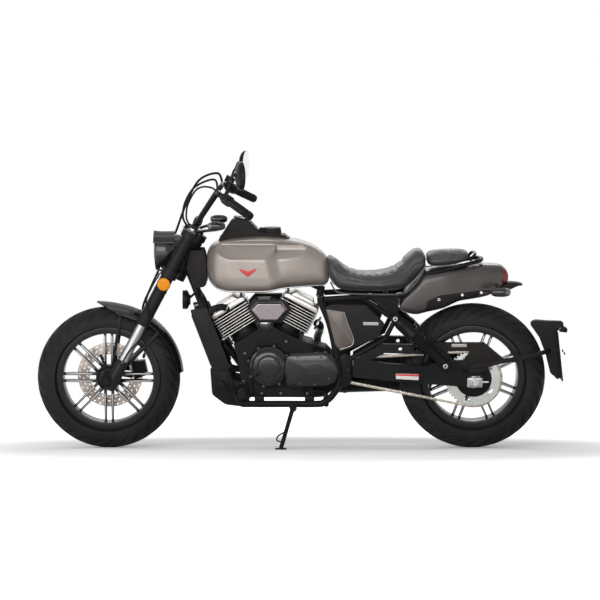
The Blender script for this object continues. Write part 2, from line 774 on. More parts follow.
def console_pieces():
    """The instrument on the tank: a wedge-backed pod with a bezel and a dark dial glass."""
    outline = [(303, 884), (268, 938), (246, 972), (222, 980), (172, 969), (142, 938), (128, 922), (96, 908),
               (140, 900), (220, 896), (274, 888)]
    shape = softened(outline, 7)
    rings = [in_plane(inset(shape, draw), y) for y, draw in
             ((-44, 14), (-42, 5), (-36, 0), (36, 0), (42, 5), (44, 14))]
    pod = skin(rings)
    strip = plate([(150, 896), (40, 906), (6, 897), (0, 889), (30, 888), (93, 896)], -44, 44, 4, 5)
    chassis_piece("instrument_pod", joined(pod, strip), dark_plastic(), slot="gloss_black")
    normal = unit(np.array([-0.18, 0, 0.98]))
    dial = lathe([[30, 0], [35, 1.5], [36, 4], [33, 6.5], [30.5, 4.5]], (204, 0, 974), normal, 48)
    chassis_piece("instrument_bezel", dial, black_metal(), slot="gloss_black")
    glass = lathe([[30.6, 4], [20, 5.2], [8, 5.8]], (204, 0, 974), normal, 48)
    chassis_piece("instrument_glass", glass, smoked_lens(), slot="gloss_black")


# Seats: (x, base, top, half width) stations; the pad is lofted a little small and swells to size
RIDER_STATIONS = [
    (-158, 772, 812, 62), (-166, 748, 821, 88), (-178, 716, 819, 100), (-196, 690, 795, 108),
    (-222, 684, 772, 114), (-258, 683, 754, 121), (-300, 683, 745, 130), (-350, 683, 744, 138),
    (-400, 683, 752, 141), (-440, 684, 768, 136), (-470, 686, 790, 126), (-492, 700, 822, 114),
    (-512, 722, 845, 106), (-532, 745, 850, 102), (-548, 766, 843, 98), (-561, 784, 822, 84)]
PILLION_STATIONS = [
    (-573, 790, 826, 70), (-582, 783, 835, 84), (-606, 779, 839, 92), (-650, 783, 842, 95),
    (-700, 791, 843, 90), (-728, 799, 842, 80), (-744, 807, 835, 60)]


def swollen(obj, voxel, frames, reach):
    """Cloth simulation on a copy: remeshed, blown up with no gravity and no point moving further than
    reach from where it began; the result is written into the object's mesh."""
    remesh = obj.modifiers.new("remesh", "REMESH")
    remesh.mode = "VOXEL"
    remesh.voxel_size = voxel
    bpy.context.view_layer.objects.active = obj
    obj.select_set(True)
    bpy.ops.object.modifier_apply(modifier="remesh")
    start = np.zeros(len(obj.data.vertices) * 3)
    obj.data.vertices.foreach_get("co", start)
    cloth = obj.modifiers.new("cloth", "CLOTH")
    cloth.settings.use_pressure = True
    cloth.settings.uniform_pressure_force = 4
    cloth.settings.effector_weights.gravity = 0
    cloth.settings.tension_stiffness = cloth.settings.compression_stiffness = 25
    cloth.point_cache.frame_start = 1
    cloth.point_cache.frame_end = frames
    scene = bpy.context.scene
    for number in range(1, frames + 1):
        scene.frame_set(number)
    bpy.ops.object.modifier_apply(modifier="cloth")
    end = np.zeros(len(start))
    obj.data.vertices.foreach_get("co", end)
    move = (end - start).reshape(-1, 3)
    far = np.linalg.norm(move, axis=1, keepdims=True)
    move = move * np.minimum(1, reach / np.maximum(far, 1e-9))
    obj.data.vertices.foreach_set("co", (start.reshape(-1, 3) + move).ravel())
    scene.frame_set(1)
    obj.data.update()


def sewn(obj, place, depth_of):
    """Presses seams and channels into a pad: every point goes in along its normal by depth_of(x, y, z)."""
    mesh = obj.data
    co = np.zeros(len(mesh.vertices) * 3)
    normal = np.zeros(len(mesh.vertices) * 3)
    mesh.vertices.foreach_get("co", co)
    mesh.vertices.foreach_get("normal", normal)
    co, normal = co.reshape(-1, 3), normal.reshape(-1, 3)
    depth = depth_of(*place.local(co).T)[:, None] * 0.001
    mesh.vertices.foreach_set("co", (co - normal * depth).ravel())
    mesh.update()


def groove(distance, width):
    """A soft-sided groove: e^-(d/w)^2."""
    return np.exp(-(distance / width)**2)


def seam_height(x):
    """Height of the piping seam that parts the top panel from the side, over the rider seat's length."""
    return np.interp(x, [-561, -520, -490, -440, -380, -300, -230, -190, -160],
                     [800, 790, 758, 727, 716, 716, 728, 752, 790])


def rider_depth(x, y, z):
    """Cross channels on the sitting panel, a channel border and the piping seam on the flanks."""
    deep = sizes().channel_depth * 1000
    on_top = step_between(z - seam_height(x), 2, 14) * step_between(-np.abs(y), -96, -84)
    pitch = 31.0
    lines = (x + 250) / pitch
    spacing = np.abs(lines - np.round(lines)) * pitch
    sitting = step_between(-x, 225, 245) * step_between(x, -478, -462)
    cross = groove(spacing, 4.0) * sitting * on_top
    border = groove(np.abs(y) - 92, 3.5) * step_between(-x, 200, 235) * step_between(x, -500, -475)
    border = border * step_between(z - seam_height(x), 0, 10)
    piping = groove(z - seam_height(x), 3.5) * step_between(np.abs(y), 40, 70)
    return deep * (cross + 0.8 * border + 0.9 * piping)


def pillion_depth(x, y, z):
    """One seam round the pad under its crown and two lengthwise channels."""
    deep = sizes().channel_depth * 1000
    around = groove(z - np.interp(x, [-745, -573], [822, 808]), 3.2)
    top = step_between(z, 830, 838)
    lengthwise = groove(np.abs(y) - 48, 3.2) * top * step_between(x, -728, -712) * step_between(-x, 588, 604)
    across = groove(x + 660, 3.2) * top * step_between(-np.abs(y), -48, -44)
    return deep * (0.9 * around + 0.7 * lengthwise + 0.5 * across)


def pad(name, stations, node, depth_of):
    """A seat: lofted, remeshed, swollen by simulation, then sewn and declared as padded."""
    obj = chassis_piece(name, loft(stations, 3.0, 48, 8), seat_leather(), node)
    swollen(obj, voxel=0.0045, frames=14, reach=0.007)
    sewn(obj, BIKE, depth_of)
    obj.data.shade_smooth()
    smooth = obj.modifiers.new("smooth", "SUBSURF")
    smooth.levels = smooth.render_levels = 1
    bpy.ops.object.modifier_apply(modifier="smooth")


def seat_pieces():
    """Both seats and the rounded lower edge of the rider seat's base."""
    pad("rider_pad", RIDER_STATIONS, "rider_seat", rider_depth)
    pad("pillion_pad", PILLION_STATIONS, "pillion_seat", pillion_depth)
    rim = [(-168, 92, 716), (-186, 108, 686), (-215, 116, 674), (-300, 132, 672), (-400, 144, 672),
           (-470, 130, 674), (-506, 116, 700), (-540, 106, 742), (-562, 92, 788)]
    edge = mirrored(tube(curve(rim, 8), 3.6, 10, round_ends=3))
    chassis_piece("seat_base_edge", edge, side_leather())


COWL_POWER = 4.2
# x, bottom, top, half width
COWL_STATIONS = [
    (-458, 606, 618, 108), (-462, 598, 634, 110), (-476, 588, 662, 111), (-500, 580, 690, 112),
    (-530, 577, 722, 112), (-556, 582, 756, 111), (-575, 587, 764, 111), (-642, 603, 774, 107),
    (-700, 630, 779, 99), (-760, 640, 784, 89), (-806, 648, 786, 80), (-840, 658, 785, 71),
    (-866, 676, 783, 64), (-884, 694, 779, 58)]


def cowl_pieces():
    """The tail cowl, its black lower panel with screws, and the plate-like tail tip."""
    chassis_piece("tail_shell", loft(COWL_STATIONS, COWL_POWER, 72, 6), cowl_paint(), "tail_cowl")
    panel = [(-560, 596), (-568, 640), (-620, 664), (-700, 672), (-800, 682), (-836, 682), (-838, 664),
             (-800, 654), (-706, 636), (-642, 606), (-600, 594)]
    shape = softened(panel, 10)
    middle = shape.mean(0)
    back = [530, 642, 700, 760, 835, 884]
    runs = ([111.5, 106.5, 98.5, 88.5, 71.5, 58], [578, 604, 630, 640, 658, 694],
            [722, 773, 778, 783, 785, 779])
    rings = []
    for share, out in ((0.98, -4), (1, 0.5), *[(inner, 2.5) for inner in (0.98, 0.8, 0.6, 0.4, 0.2, 0.02)]):
        flat = middle + (shape[::-1] - middle) * share
        half, low, high = (np.interp(-flat[:, 0], back, values) for values in runs)
        rel = np.clip(np.abs((flat[:, 1] - (low + high) / 2) / ((high - low) / 2)), 0, 0.97)
        rings.append(in_plane(flat, half * (1 - rel**COWL_POWER)**(1 / COWL_POWER) + out))
    dark = mirrored(skin(rings))
    chassis_piece("tail_lower_panel", dark, dark_plastic(), sharp=30)
    screws = [mirrored(hex_bolt((x, y, z), LEFT, 13, 5)) for x, y, z in
              ((-618, 107, 646), (-716, 96, 664), (-796, 81, 672))]
    chassis_piece("tail_screws", joined(*screws), plated_steel())
    tip = [(-905, 706), (-924, 708), (-950, 706), (-977, 699), (-950, 692), (-924, 679), (-880, 670),
           (-860, 676)]
    visor = plate(tip, -36, 36, 5, 6)
    chassis_piece("tail_tip", visor, dark_plastic())


def lamp_pieces():
    """The tail lamp's red lens with inner ribs and the bullet indicators behind."""
    lens = loft([(-886, 702, 778, 57), (-897, 703, 770, 53), (-906, 708, 760, 47), (-912, 716, 746, 38)], 3.6,
                48, 5)
    chassis_piece("tail_lens", lens, red_lens(), "rear_lamps")
    bullets, glass, stems = [], [], []
    for y in (-150, 150):
        bullets.append(lathe([[6, 0], [14, 5], [18.5, 20], [19.5, 48], [19, 60], [17, 62]],
                             (-831, y, 682), (-1, 0, 0), 40))
        glass.append(lathe([[17.6, 0], [17.2, 9], [13, 17], [6, 21]], (-892, y, 682), (-1, 0, 0), 40))
        side = np.sign(y)
        stems.append(tube([(-862, side * 60, 700), (-862, side * 96, 702), (-860, side * 132, 692)],
                          [8, 7, 7], 14))
    chassis_piece("rear_indicator_bodies", joined(*bullets, *stems), gloss_black(), slot="lamp_plastic")
    chassis_piece("rear_indicator_lenses", joined(*glass), smoked_lens())


def grab_rail_piece():
    """One smooth tube from side to side behind the passenger's seat, on two posts."""
    side = [(-560, 92, 752), (-620, 92, 762), (-664, 88, 772), (-720, 88, 788), (-772, 72, 800),
            (-798, 36, 805)]
    run = side + [(x, -y, z) for x, y, z in side[::-1]]
    upper = [(-748, 74, 806), (-764, 66, 824), (-772, 40, 829), (-772, -40, 829), (-764, -66, 824),
             (-748, -74, 806)]
    part = joined(tube(curve(run, 6), 8.5, 18), tube(curve(upper, 6), 6.5, 14),
                  mirrored(tube([(-664, 81, 705), (-664, 85, 768)], 7, 14)))
    chassis_piece("grab_rail_tube", part, black_metal(), "grab_rail")


def side_cover_pieces():
    """Side covers: a bevelled black panel, a grained front insert with a stitched edge, a blank patch."""
    body = [(-143, 618), (-168, 628), (-312, 628), (-392, 551), (-363, 488), (-207, 430), (-181, 457)]
    insert = [(-148, 611), (-222, 600), (-236, 556), (-262, 470), (-207, 441), (-187, 462)]
    front = node_face("side_covers")
    black = mirrored(plate(body, front - 19, front - 3, 3.5, 9))
    chassis_piece("side_cover_panels", black, dark_plastic(), "side_covers")
    champagne = finish("insert_brown", (0.105, 0.088, 0.078), 0.4, 0.35, vary=0.2, grain=0.004, bump=0.0003,
                       leather=True)
    chassis_piece("side_cover_inserts", mirrored(plate(insert, front - 6, front, 2, 6)), champagne,
                  slot="dark_plastic")
    edge = curve([(-222, 600), (-236, 556), (-262, 470), (-207, 441)], 6)
    seam = mirrored(tube(in_plane(edge, front - 2.5), 2.2, 8))
    chassis_piece("side_cover_trim", seam, satin_alloy(), slot="grey_alloy")
    patch = mirrored(plate([(-302, 544), (-366, 543), (-366, 556), (-302, 557)], front - 3.2, front - 2.4,
                           0.2, 2))
    chassis_piece("side_cover_patches", patch, blank_label("patch_grey", (0.35, 0.34, 0.33)),
                  slot="dark_plastic")


def rear_carrier_pieces():
    """The plate carrier behind the wheel: a rib with its hooked top, a blank wall, an arm and a lamp."""
    rib = [(-1010, 534), (-1022, 545), (-1048, 544), (-1142, 541), (-1150, 534), (-1148, 523), (-1122, 512),
           (-1131, 420), (-1140, 302), (-1130, 296), (-1098, 318), (-1078, 396), (-1050, 470), (-1016, 518)]
    part = plate(rib, -17, 17, 4, 7)
    wall = plate([(-1114, 506), (-1119, 506), (-1143, 299), (-1138, 299)], -90, 90, 1.2, 0)
    arm = tube(curve([(-748, 139, 366), (-805, 141, 374), (-893, 139, 393), (-1030, 92, 412),
                      (-1092, 12, 420)], 8), 9.5, 16)
    foot = plate([(-738, 345), (-800, 340), (-836, 376), (-790, 390), (-752, 372)], 131.5, 143.5, 3, 8)
    chassis_piece("plate_carrier", joined(part, wall, arm, foot), dark_plastic(), "rear_mudguard")
    lamp = plate([(-1146, 520), (-1166, 512), (-1164, 494), (-1130, 498)], -26, 26, 4, 5)
    bolts = [hex_bolt((-1150, s * 35, 408), (-1, 0, 0.11), 12, 5) for s in (-1, 1)]
    chassis_piece("plate_lamp", joined(lamp, *bolts), black_metal(), slot="dark_plastic")


# ------------------------------------------------------------------ wheels


def arc_points(centre, radius, start, stop, count):
    """Points on a circle from one angle to another, in degrees."""
    a = np.radians(np.linspace(start, stop, count))
    return np.column_stack([centre[0] + radius * np.cos(a), centre[1] + radius * np.sin(a)])


def tyre_shape(core, crown, bead, flange):
    """A tyre: its section is a full round crown drawn in to the beads, turned round the axle, and the
    tread is pressed in where slanting curved lines cross the crown. Returned about its own centre."""
    around, across = 540, 56
    wall, last = 96, 128  # degrees from the crown's middle to the sidewall and to the bead
    a = np.linspace(-last, last, across)
    slope = np.radians(wall)
    out = core + crown * np.cos(np.radians(a))
    over = crown * np.sin(np.radians(a))
    shoulder = np.abs(a) > wall
    inner = np.clip((np.abs(a) - wall) / (last - wall), 0, 1)
    over = np.where(shoulder, np.sign(a) * (crown * np.sin(slope) * (1 - inner) + bead * inner), over)
    out = np.where(shoulder, core + crown * np.cos(slope) * (1 - inner) + (flange - core) * inner, out)
    turn = full_turn(around)[:, None]
    width = a[None, :] / 90.0
    cuts_round = 30
    lean = 2.6 * np.abs(width)**1.4

    def cuts(slant, shift, breadth, rise, fall):
        """Slanting grooves, staggered from side to side, between two widths."""
        wave = (turn * cuts_round / (2 * np.pi) + lean * slant + shift + np.where(width > 0, 0, 0.5)) % 1.0
        reach = step_between(np.abs(width), *rise) * step_between(-np.abs(width), *fall)
        return np.exp(-((wave - 0.5) / breadth)**2) * reach

    long_cuts = cuts(0.9, 0, 0.10, (0.10, 0.16), (-0.72, -0.6))
    short_cuts = cuts(0.7, 0.32, 0.06, (0.38, 0.44), (-0.80, -0.72))
    depth = sizes().tread_depth * 1600 * np.clip(long_cuts + short_cuts, 0, 1)
    side_ribs = 0.8 * np.exp(-((np.abs(a) - 108) / 1.6)**2) + 0.8 * np.exp(-((np.abs(a) - 99) / 1.2)**2)
    radius = out[None, :] - depth * np.cos(np.radians(a)) + side_ribs * 0.5
    side = over[None, :] - depth * np.sin(np.radians(a)) + np.sign(a) * side_ribs
    points = np.stack([radius * np.cos(turn), side + 0 * turn, radius * np.sin(turn)], -1)
    inner_row = np.stack(np.broadcast_arrays((flange - 6) * np.cos(turn), np.array([[bead, -bead]]) * 0.9,
                                             (flange - 6) * np.sin(turn)), -1)
    return sheet(np.concatenate([points, inner_row], 1), wrap_u=True, wrap_v=True)


def moved(part, centre):
    """A part shifted to a centre."""
    return part[0] + np.asarray(centre, float), part[1]


def turned(part, degrees):
    """A part turned about the Y axis."""
    c, s = np.cos(np.radians(degrees)), np.sin(np.radians(degrees))
    return part[0] @ np.array([[c, 0, s], [0, 1, 0], [-s, 0, c]]), part[1]


# The tyres' core and crown radii, half the rims' widths, the hubs' radii and ends, the first spokes'
# angles, and each disc's middle, outer and inner radii, holes round it and arms
WHEELS = {"front": dict(core=231, crown=70, half=45, hub=54, hub_y0=-58, hub_y1=49, first=0,
                        disc=(-62, 138, 88, 32, 6)), "rear": dict(core=233, crown=75, half=52, hub=56,
                                                                  hub_y0=-84, hub_y1=80, first=21,
                                                                  disc=(-92, 115, 72, 26, 5)), }


def wheel_pieces(end, core, crown, half, hub, hub_y0, hub_y1, first, disc):
    """A cast wheel: a lathed rim and hub, twin tapered spokes with bright machined edges, and a tyre."""
    centre = AXLE[end]
    body = end + "_wheel"
    seat, flange = 203, 219
    rim = lathe([[seat - 12, -half + 4], [flange - 8, -half], [flange, -half + 2], [flange, -half + 5],
                 [seat, -half + 8], [seat - 6, -half + 22], [seat - 6, half - 22], [seat, half - 8],
                 [flange, half - 5], [flange, half - 2], [flange - 8, half], [seat - 12, half - 4],
                 [seat - 15, half - 18], [seat - 15, -half + 18]], (0, 0, 0), LEFT, 120, closed=True)
    spokes, edges = [], []
    offset = 14.5
    pairs = sizes().spoke_pairs
    for side in (-1, 1):
        ends = [(hub - 12, 0, side * (offset + 1)), (seat - 12, 0, side * offset)]
        spokes.append(bar(ends, 12, 38, UP, 3, 0.82))
        for y in (-1, 1):
            ends = [(hub + 16, y * 18.4, side * (offset + 1.5)), (seat - 24, y * 16, side * (offset + 0.5))]
            edges.append(bar(ends, 5.5, 2.2, UP, 0.5, 0.8))
    arms = [turned(joined(*spokes), first + 360 * k / pairs) for k in range(pairs)]
    bright = [turned(joined(*edges), first + 360 * k / pairs) for k in range(pairs)]
    disc_pieces(end, *disc)
    hub_part = lathe([[11, hub_y0], [hub * 0.6, hub_y0], [hub * 0.62, hub_y0 + 6], [hub * 0.86, hub_y0 + 14],
                      [hub, -20], [hub, 20], [hub * 0.86, hub_y1 - 12], [hub * 0.62, hub_y1 - 5],
                      [hub * 0.6, hub_y1], [11, hub_y1]], (0, 0, 0), LEFT, 64)
    bolts = [hex_bolt((0.74 * hub * np.cos(t), hub_y1 - 10, 0.74 * hub * np.sin(t)), LEFT, 9, 5)
             for t in full_turn(5)]
    piece(end + "_wheel_casting", moved(joined(rim, hub_part, *arms, *bolts), centre), BIKE, body,
          wheel_paint(), end + "_rim")
    piece(end + "_wheel_bright_edges", moved(joined(*bright), centre), BIKE, body, satin_alloy(),
          slot="wheel_paint")
    piece(end + "_tyre_carcass", moved(tyre_shape(core, crown, half - 7, flange + 1), centre), BIKE, body,
          tyre_rubber(), end + "_tyre", sharp=60)


def welded(verts, faces):
    """Corners that fall together become one."""
    keys = np.round(verts, 3)
    _, first, back = np.unique(keys, axis=0, return_index=True, return_inverse=True)
    return verts[first], back.reshape(-1)[np.asarray(faces)].tolist()


def drilled_ring(centre, y0, y1, inner, outer, holes, rows, radius):
    """A flat ring with rows of round holes: each cell of the ring blends its square rim (u, v on the
    unit square) into a circle of the hole's radius, then (u, v) turns into angle and distance, with
    the angle leaning by half a cell over each row so that the holes stand in slanting lines."""
    n = 16  # points round each cell's rim, and round its hole
    around = np.arange(n) * 2 * np.pi / n + np.pi / 4
    circle = np.stack([np.cos(around), np.sin(around)], -1)
    square = circle / np.abs(circle).max(-1, keepdims=True)
    pitch, width = 2 * np.pi / holes, (outer - inner) / rows
    col, row = np.meshgrid(np.arange(holes), np.arange(rows), indexing="ij")
    mean = inner + (row + 0.5) * width
    hole = np.stack([radius / (mean * pitch / 2), np.full(mean.shape, radius / (width / 2))], -1)
    cells = np.stack([np.broadcast_to(square, (*col.shape, n, 2)), circle * hole[:, :, None]], 2)
    v = (row[..., None, None] + 0.5 + cells[..., 1] / 2) * width + inner
    u = (col[..., None, None] + 0.5 + cells[..., 0] / 2 + (v - inner) / width / 2) * pitch
    flat = np.stack([v * np.cos(u), np.zeros_like(u), v * np.sin(u)], -1)
    verts = np.stack([flat + [0, y0, 0], flat + [0, y1, 0]], 2).reshape(-1, 3) + centre
    k = np.arange(n)
    k2 = (k + 1) % n
    low_hole, high_rim, high_hole = n, 2 * n, 3 * n
    quads = [np.stack([k, k + low_hole, k2 + low_hole, k2], -1),
             np.stack([k + high_rim, k2 + high_rim, k2 + high_hole, k + high_hole], -1),
             np.stack([k + low_hole, k + high_hole, k2 + high_hole, k2 + low_hole], -1)]
    start = (np.arange(col.size) * 4 * n)[:, None]
    faces = [np.concatenate([start[:, :, None] + q[None] for q in quads], 1).reshape(-1, 4)]
    for last_row, sign in ((0, -1), (rows - 1, 1)):
        cell = np.argwhere(row.reshape(-1) == last_row)[:, 0]
        on = [i for i in range(n) if square[i, 1] * sign > 0.999 and square[(i + 1) % n, 1] * sign > 0.999]
        quad = np.array([[i, i + high_rim, (i + 1) % n + high_rim, (i + 1) % n] for i in on])
        faces.append((cell[:, None, None] * 4 * n + quad[None]).reshape(-1, 4))
    return welded(verts, np.concatenate(faces))


def disc_pieces(end, y, outer, inner, holes, arms):
    """A brake disc: a drilled steel ring on a dark carrier with rounded arms and rivets."""
    centre = AXLE[end]
    ring = drilled_ring(centre, y - 2.5, y + 2.5, inner, outer, holes, 3, 3.4)
    piece(end + "_disc_ring", ring, BIKE, end + "_wheel", ground_steel(end + "_disc_steel",
                                                                       (0.36, 0.31, 0.28), centre),
          end + "_disc", slot="steel", sharp=30)
    hub = lathe([[32, y - 3], [46, y - 3], [46, y + 3], [32, y + 3]], centre, LEFT, 48, closed=True)
    turns = np.linspace(0, 360, arms, endpoint=False)
    arm = [turned(bar([(40, y, 0), (inner + 4, y, 8)], 5, 13, LEFT, 1), t) for t in turns]
    rivets = [turned(lathe([[6, y - 4], [6, y + 4]], (inner + 3, 0, 7), LEFT, 16), t) for t in turns]
    piece(end + "_disc_carrier", joined(hub, *[moved(a, centre) for a in arm + rivets]), BIKE, end + "_wheel",
          black_metal())


def wheels():
    """Both wheels."""
    for end, values in WHEELS.items():
        wheel_pieces(end, **values)


def toothed(radius, teeth, depth, steps):
    """A sprocket's outline: the radius rises and falls once a tooth, with flats at root and tip."""
    a = full_turn(teeth * steps)
    wave = np.clip(1.5 * np.cos(a * teeth), -1, 1)
    r = radius + depth / 2 * wave
    return np.column_stack([r * np.cos(a), r * np.sin(a)])


CHAIN_PITCH = 15.875
REAR_TEETH, FRONT_TEETH = 46, 15
FRONT_SPROCKET = np.array([-150.0, 352.0])


def pin_radius(teeth):
    """The circle that a chain's pins follow round a sprocket: pitch / (2 sin(pi / teeth))."""
    return CHAIN_PITCH / (2 * np.sin(np.pi / teeth))


def chain_pins(rear):
    """Pins a pitch apart along two arcs and the straights between them, and the step they make."""
    r1, r2 = pin_radius(FRONT_TEETH), pin_radius(REAR_TEETH)
    between = FRONT_SPROCKET - rear
    base = np.degrees(np.arctan2(*between[::-1]))
    q = np.degrees(np.arccos((r2 - r1) / np.linalg.norm(between)))
    loop = np.vstack([arc_points(FRONT_SPROCKET, r1, base - q, base + q, 24),
                      arc_points(rear, r2, base + q, base + 360 - q, 60)])
    loop = np.vstack([loop, loop[:1]])
    lengths = np.concatenate([[0], np.cumsum(np.linalg.norm(np.diff(loop, axis=0), axis=1))])
    count = int(round(lengths[-1] / CHAIN_PITCH / 2)) * 2
    place = np.arange(count) * lengths[-1] / count
    return np.column_stack([np.interp(place, lengths, loop[:, k]) for k in (0, 1)]), lengths[-1] / count


def drive_middle():
    """The Y of the chain and the rear sprocket."""
    return (node_face("rear_sprocket") + node_face("rear_sprocket", left=False)) / 2


def chain_piece():
    """The chain's links along its run: waisted plates, inside and outside in turn, with rollers."""
    pins, step = chain_pins(AXLE["rear"][[0, 2]])
    count, y = len(pins), drive_middle()
    half = np.column_stack([np.roll(pins, -1, 0) - pins]) / 2
    mid, heading = pins + half, unit(half)
    t = full_turn(12)
    waist = 6.2 - 1.6 * np.exp(-(np.cos(t) / 0.35)**2)
    link = np.column_stack([np.cos(t) * 5.2 + np.sign(np.cos(t)) * step / 2, waist * np.sin(t)])
    thick = 1.8
    outside, inside = (joined(*[plate(link, y0, y0 + thick, 0.3, 0) for y0 in pair])
                       for pair in ((5.6, -7.4), (3.4, -5.2)))
    roller = lathe([[4.6, -3.2], [4.6, 3.2]], (step / 2, 0, 0), LEFT, 8)
    axes = np.stack([np.column_stack([heading[:, 0], np.zeros(count), heading[:, 1]]),
                     np.tile([0.0, 1.0, 0.0], (count, 1)),
                     np.column_stack([-heading[:, 1], np.zeros(count), heading[:, 0]])], 1)
    centres = in_plane(mid, y)
    part = joined(many(joined(outside, roller), centres[::2], axes[::2]),
                  many(joined(inside, roller), centres[1::2], axes[1::2]))
    chassis_piece("chain_links", part, chain_steel(), "drive_chain")


def sprocket_pieces():
    """The rear sprocket's toothed ring with its nuts, and the dark carrier beside it."""
    centre, y = AXLE["rear"], drive_middle()
    radius, steps = pin_radius(REAR_TEETH), 6
    outer = toothed(radius - 1, REAR_TEETH, 8, steps)
    bore = toothed(radius - 14, 1, 0, REAR_TEETH * steps)
    rings = [in_plane(ring, at) for ring, at in ((outer, y - 3), (outer, y + 3), (bore, y + 3),
                                                 (bore, y - 3))]
    teeth_part = sheet(np.array(rings), wrap_u=True, wrap_v=True)
    nuts = [hex_bolt((34 * np.cos(t), y + 4, 34 * np.sin(t)), LEFT, 14, 8, socket=False)
            for t in np.radians(np.arange(5) * 72 + 20)]
    part = moved(joined(teeth_part, *nuts), (centre[0], 0, centre[2]))
    steel = ground_steel("sprocket_steel", (0.36, 0.37, 0.35), centre)
    piece("sprocket_teeth", part, BIKE, "rear_wheel", steel, slot="steel")
    NODES["rear_sprocket"].data.materials[0] = steel
    ring = lathe([[38, 0], [74, 0], [76, 1], [76, 2.4], [74, 3], [38, 3]], (centre[0], y + 3.1, centre[2]),
                 LEFT, 64, closed=True)
    piece("sprocket_carrier", ring, BIKE, "rear_wheel", black_metal())


def shock_pieces():
    """Twin rear dampers: a body over a coil spring, with a lower tube and rubber eyes."""
    y = node_face("rear_shocks") - 30
    top, low = np.array([-434, y, 575.0]), np.array([-643, y, 377.0])
    run = np.linalg.norm(low - top)
    d = (low - top) / run
    turns = sizes().spring_turns
    t = np.linspace(0, 1, turns * 24 + 1)
    first, last = 104, run - 94
    radius = 30 - sizes().spring_wire * 500
    u = unit(np.cross(d, [0, 1, 0]))
    angle = 2 * np.pi * turns * t
    coil = (top + d * (first + (last - first) * t)[:, None]
            + radius * (np.cos(angle)[:, None] * u + np.sin(angle)[:, None] * np.array([0, 1.0, 0])))
    spring = tube(coil, sizes().spring_wire * 500, 10)
    chassis_piece("rear_springs", mirrored(spring), black_metal())
    body = lathe([[12, 12], [22, 16], [26, 26], [27, 36], [27, 88], [29.5, 92], [29.5, 104], [18, 104],
                  [18, 110]], top, d, 40)
    rod = lathe([[11, 104], [11, run - 92]], top, d, 24)
    lower = lathe([[20, run - 98], [29, run - 96], [29, run - 90], [21, run - 86], [17, run - 70],
                   [16, run - 14], [10, run - 10]], top, d, 36)
    eyes = [lathe([[7, -14], [16, -14], [17.5, -11], [17.5, 11], [16, 14], [7, 14]], p, LEFT, 36)
            for p in (top, low)]
    chassis_piece("rear_dampers", mirrored(body, rod, lower, *eyes), black_metal(), "rear_shocks")
    caps = [hex_bolt(p + [0, 16, 0], LEFT, 20, 7) for p in (top, low)]
    chassis_piece("rear_damper_bolts", mirrored(*caps), plated_steel())


# ------------------------------------------------------------------ engine


CRANK = np.array([90.0, 0.0, 370.0])
CYLINDERS = {"front": (32.0, 20.0), "rear": (-28.0, 0.0)}


def cylinder_place(end):
    """A cylinder's own frame: Z up its bore from the crank, X across the fins."""
    tilt, shift = CYLINDERS[end]
    c, s = np.cos(np.radians(tilt)), np.sin(np.radians(tilt))
    axes = np.array([[c, 0, -s], [0, 1, 0], [s, 0, c]])
    return BIKE.at(CRANK + shift * axes[0], axes)


def rocker_cover_part(top):
    """A rocker cover: a wedge-sided block with two milled steps, as plates stacked from the fins up."""
    base = [(-78, top), (78, top), (79, top + 14), (66, top + 20), (-66, top + 20), (-79, top + 14)]
    crown = [(-58, top + 19), (58, top + 19), (44, top + 38), (-44, top + 38)]
    rib = [(-46, top + 37), (46, top + 37), (40, top + 41), (-40, top + 41)]
    return joined(plate(base, -80, 80, 2.5, 3), plate(crown, -76, 76, 4, 4), plate(rib, -58, 58, 1.5, 2))


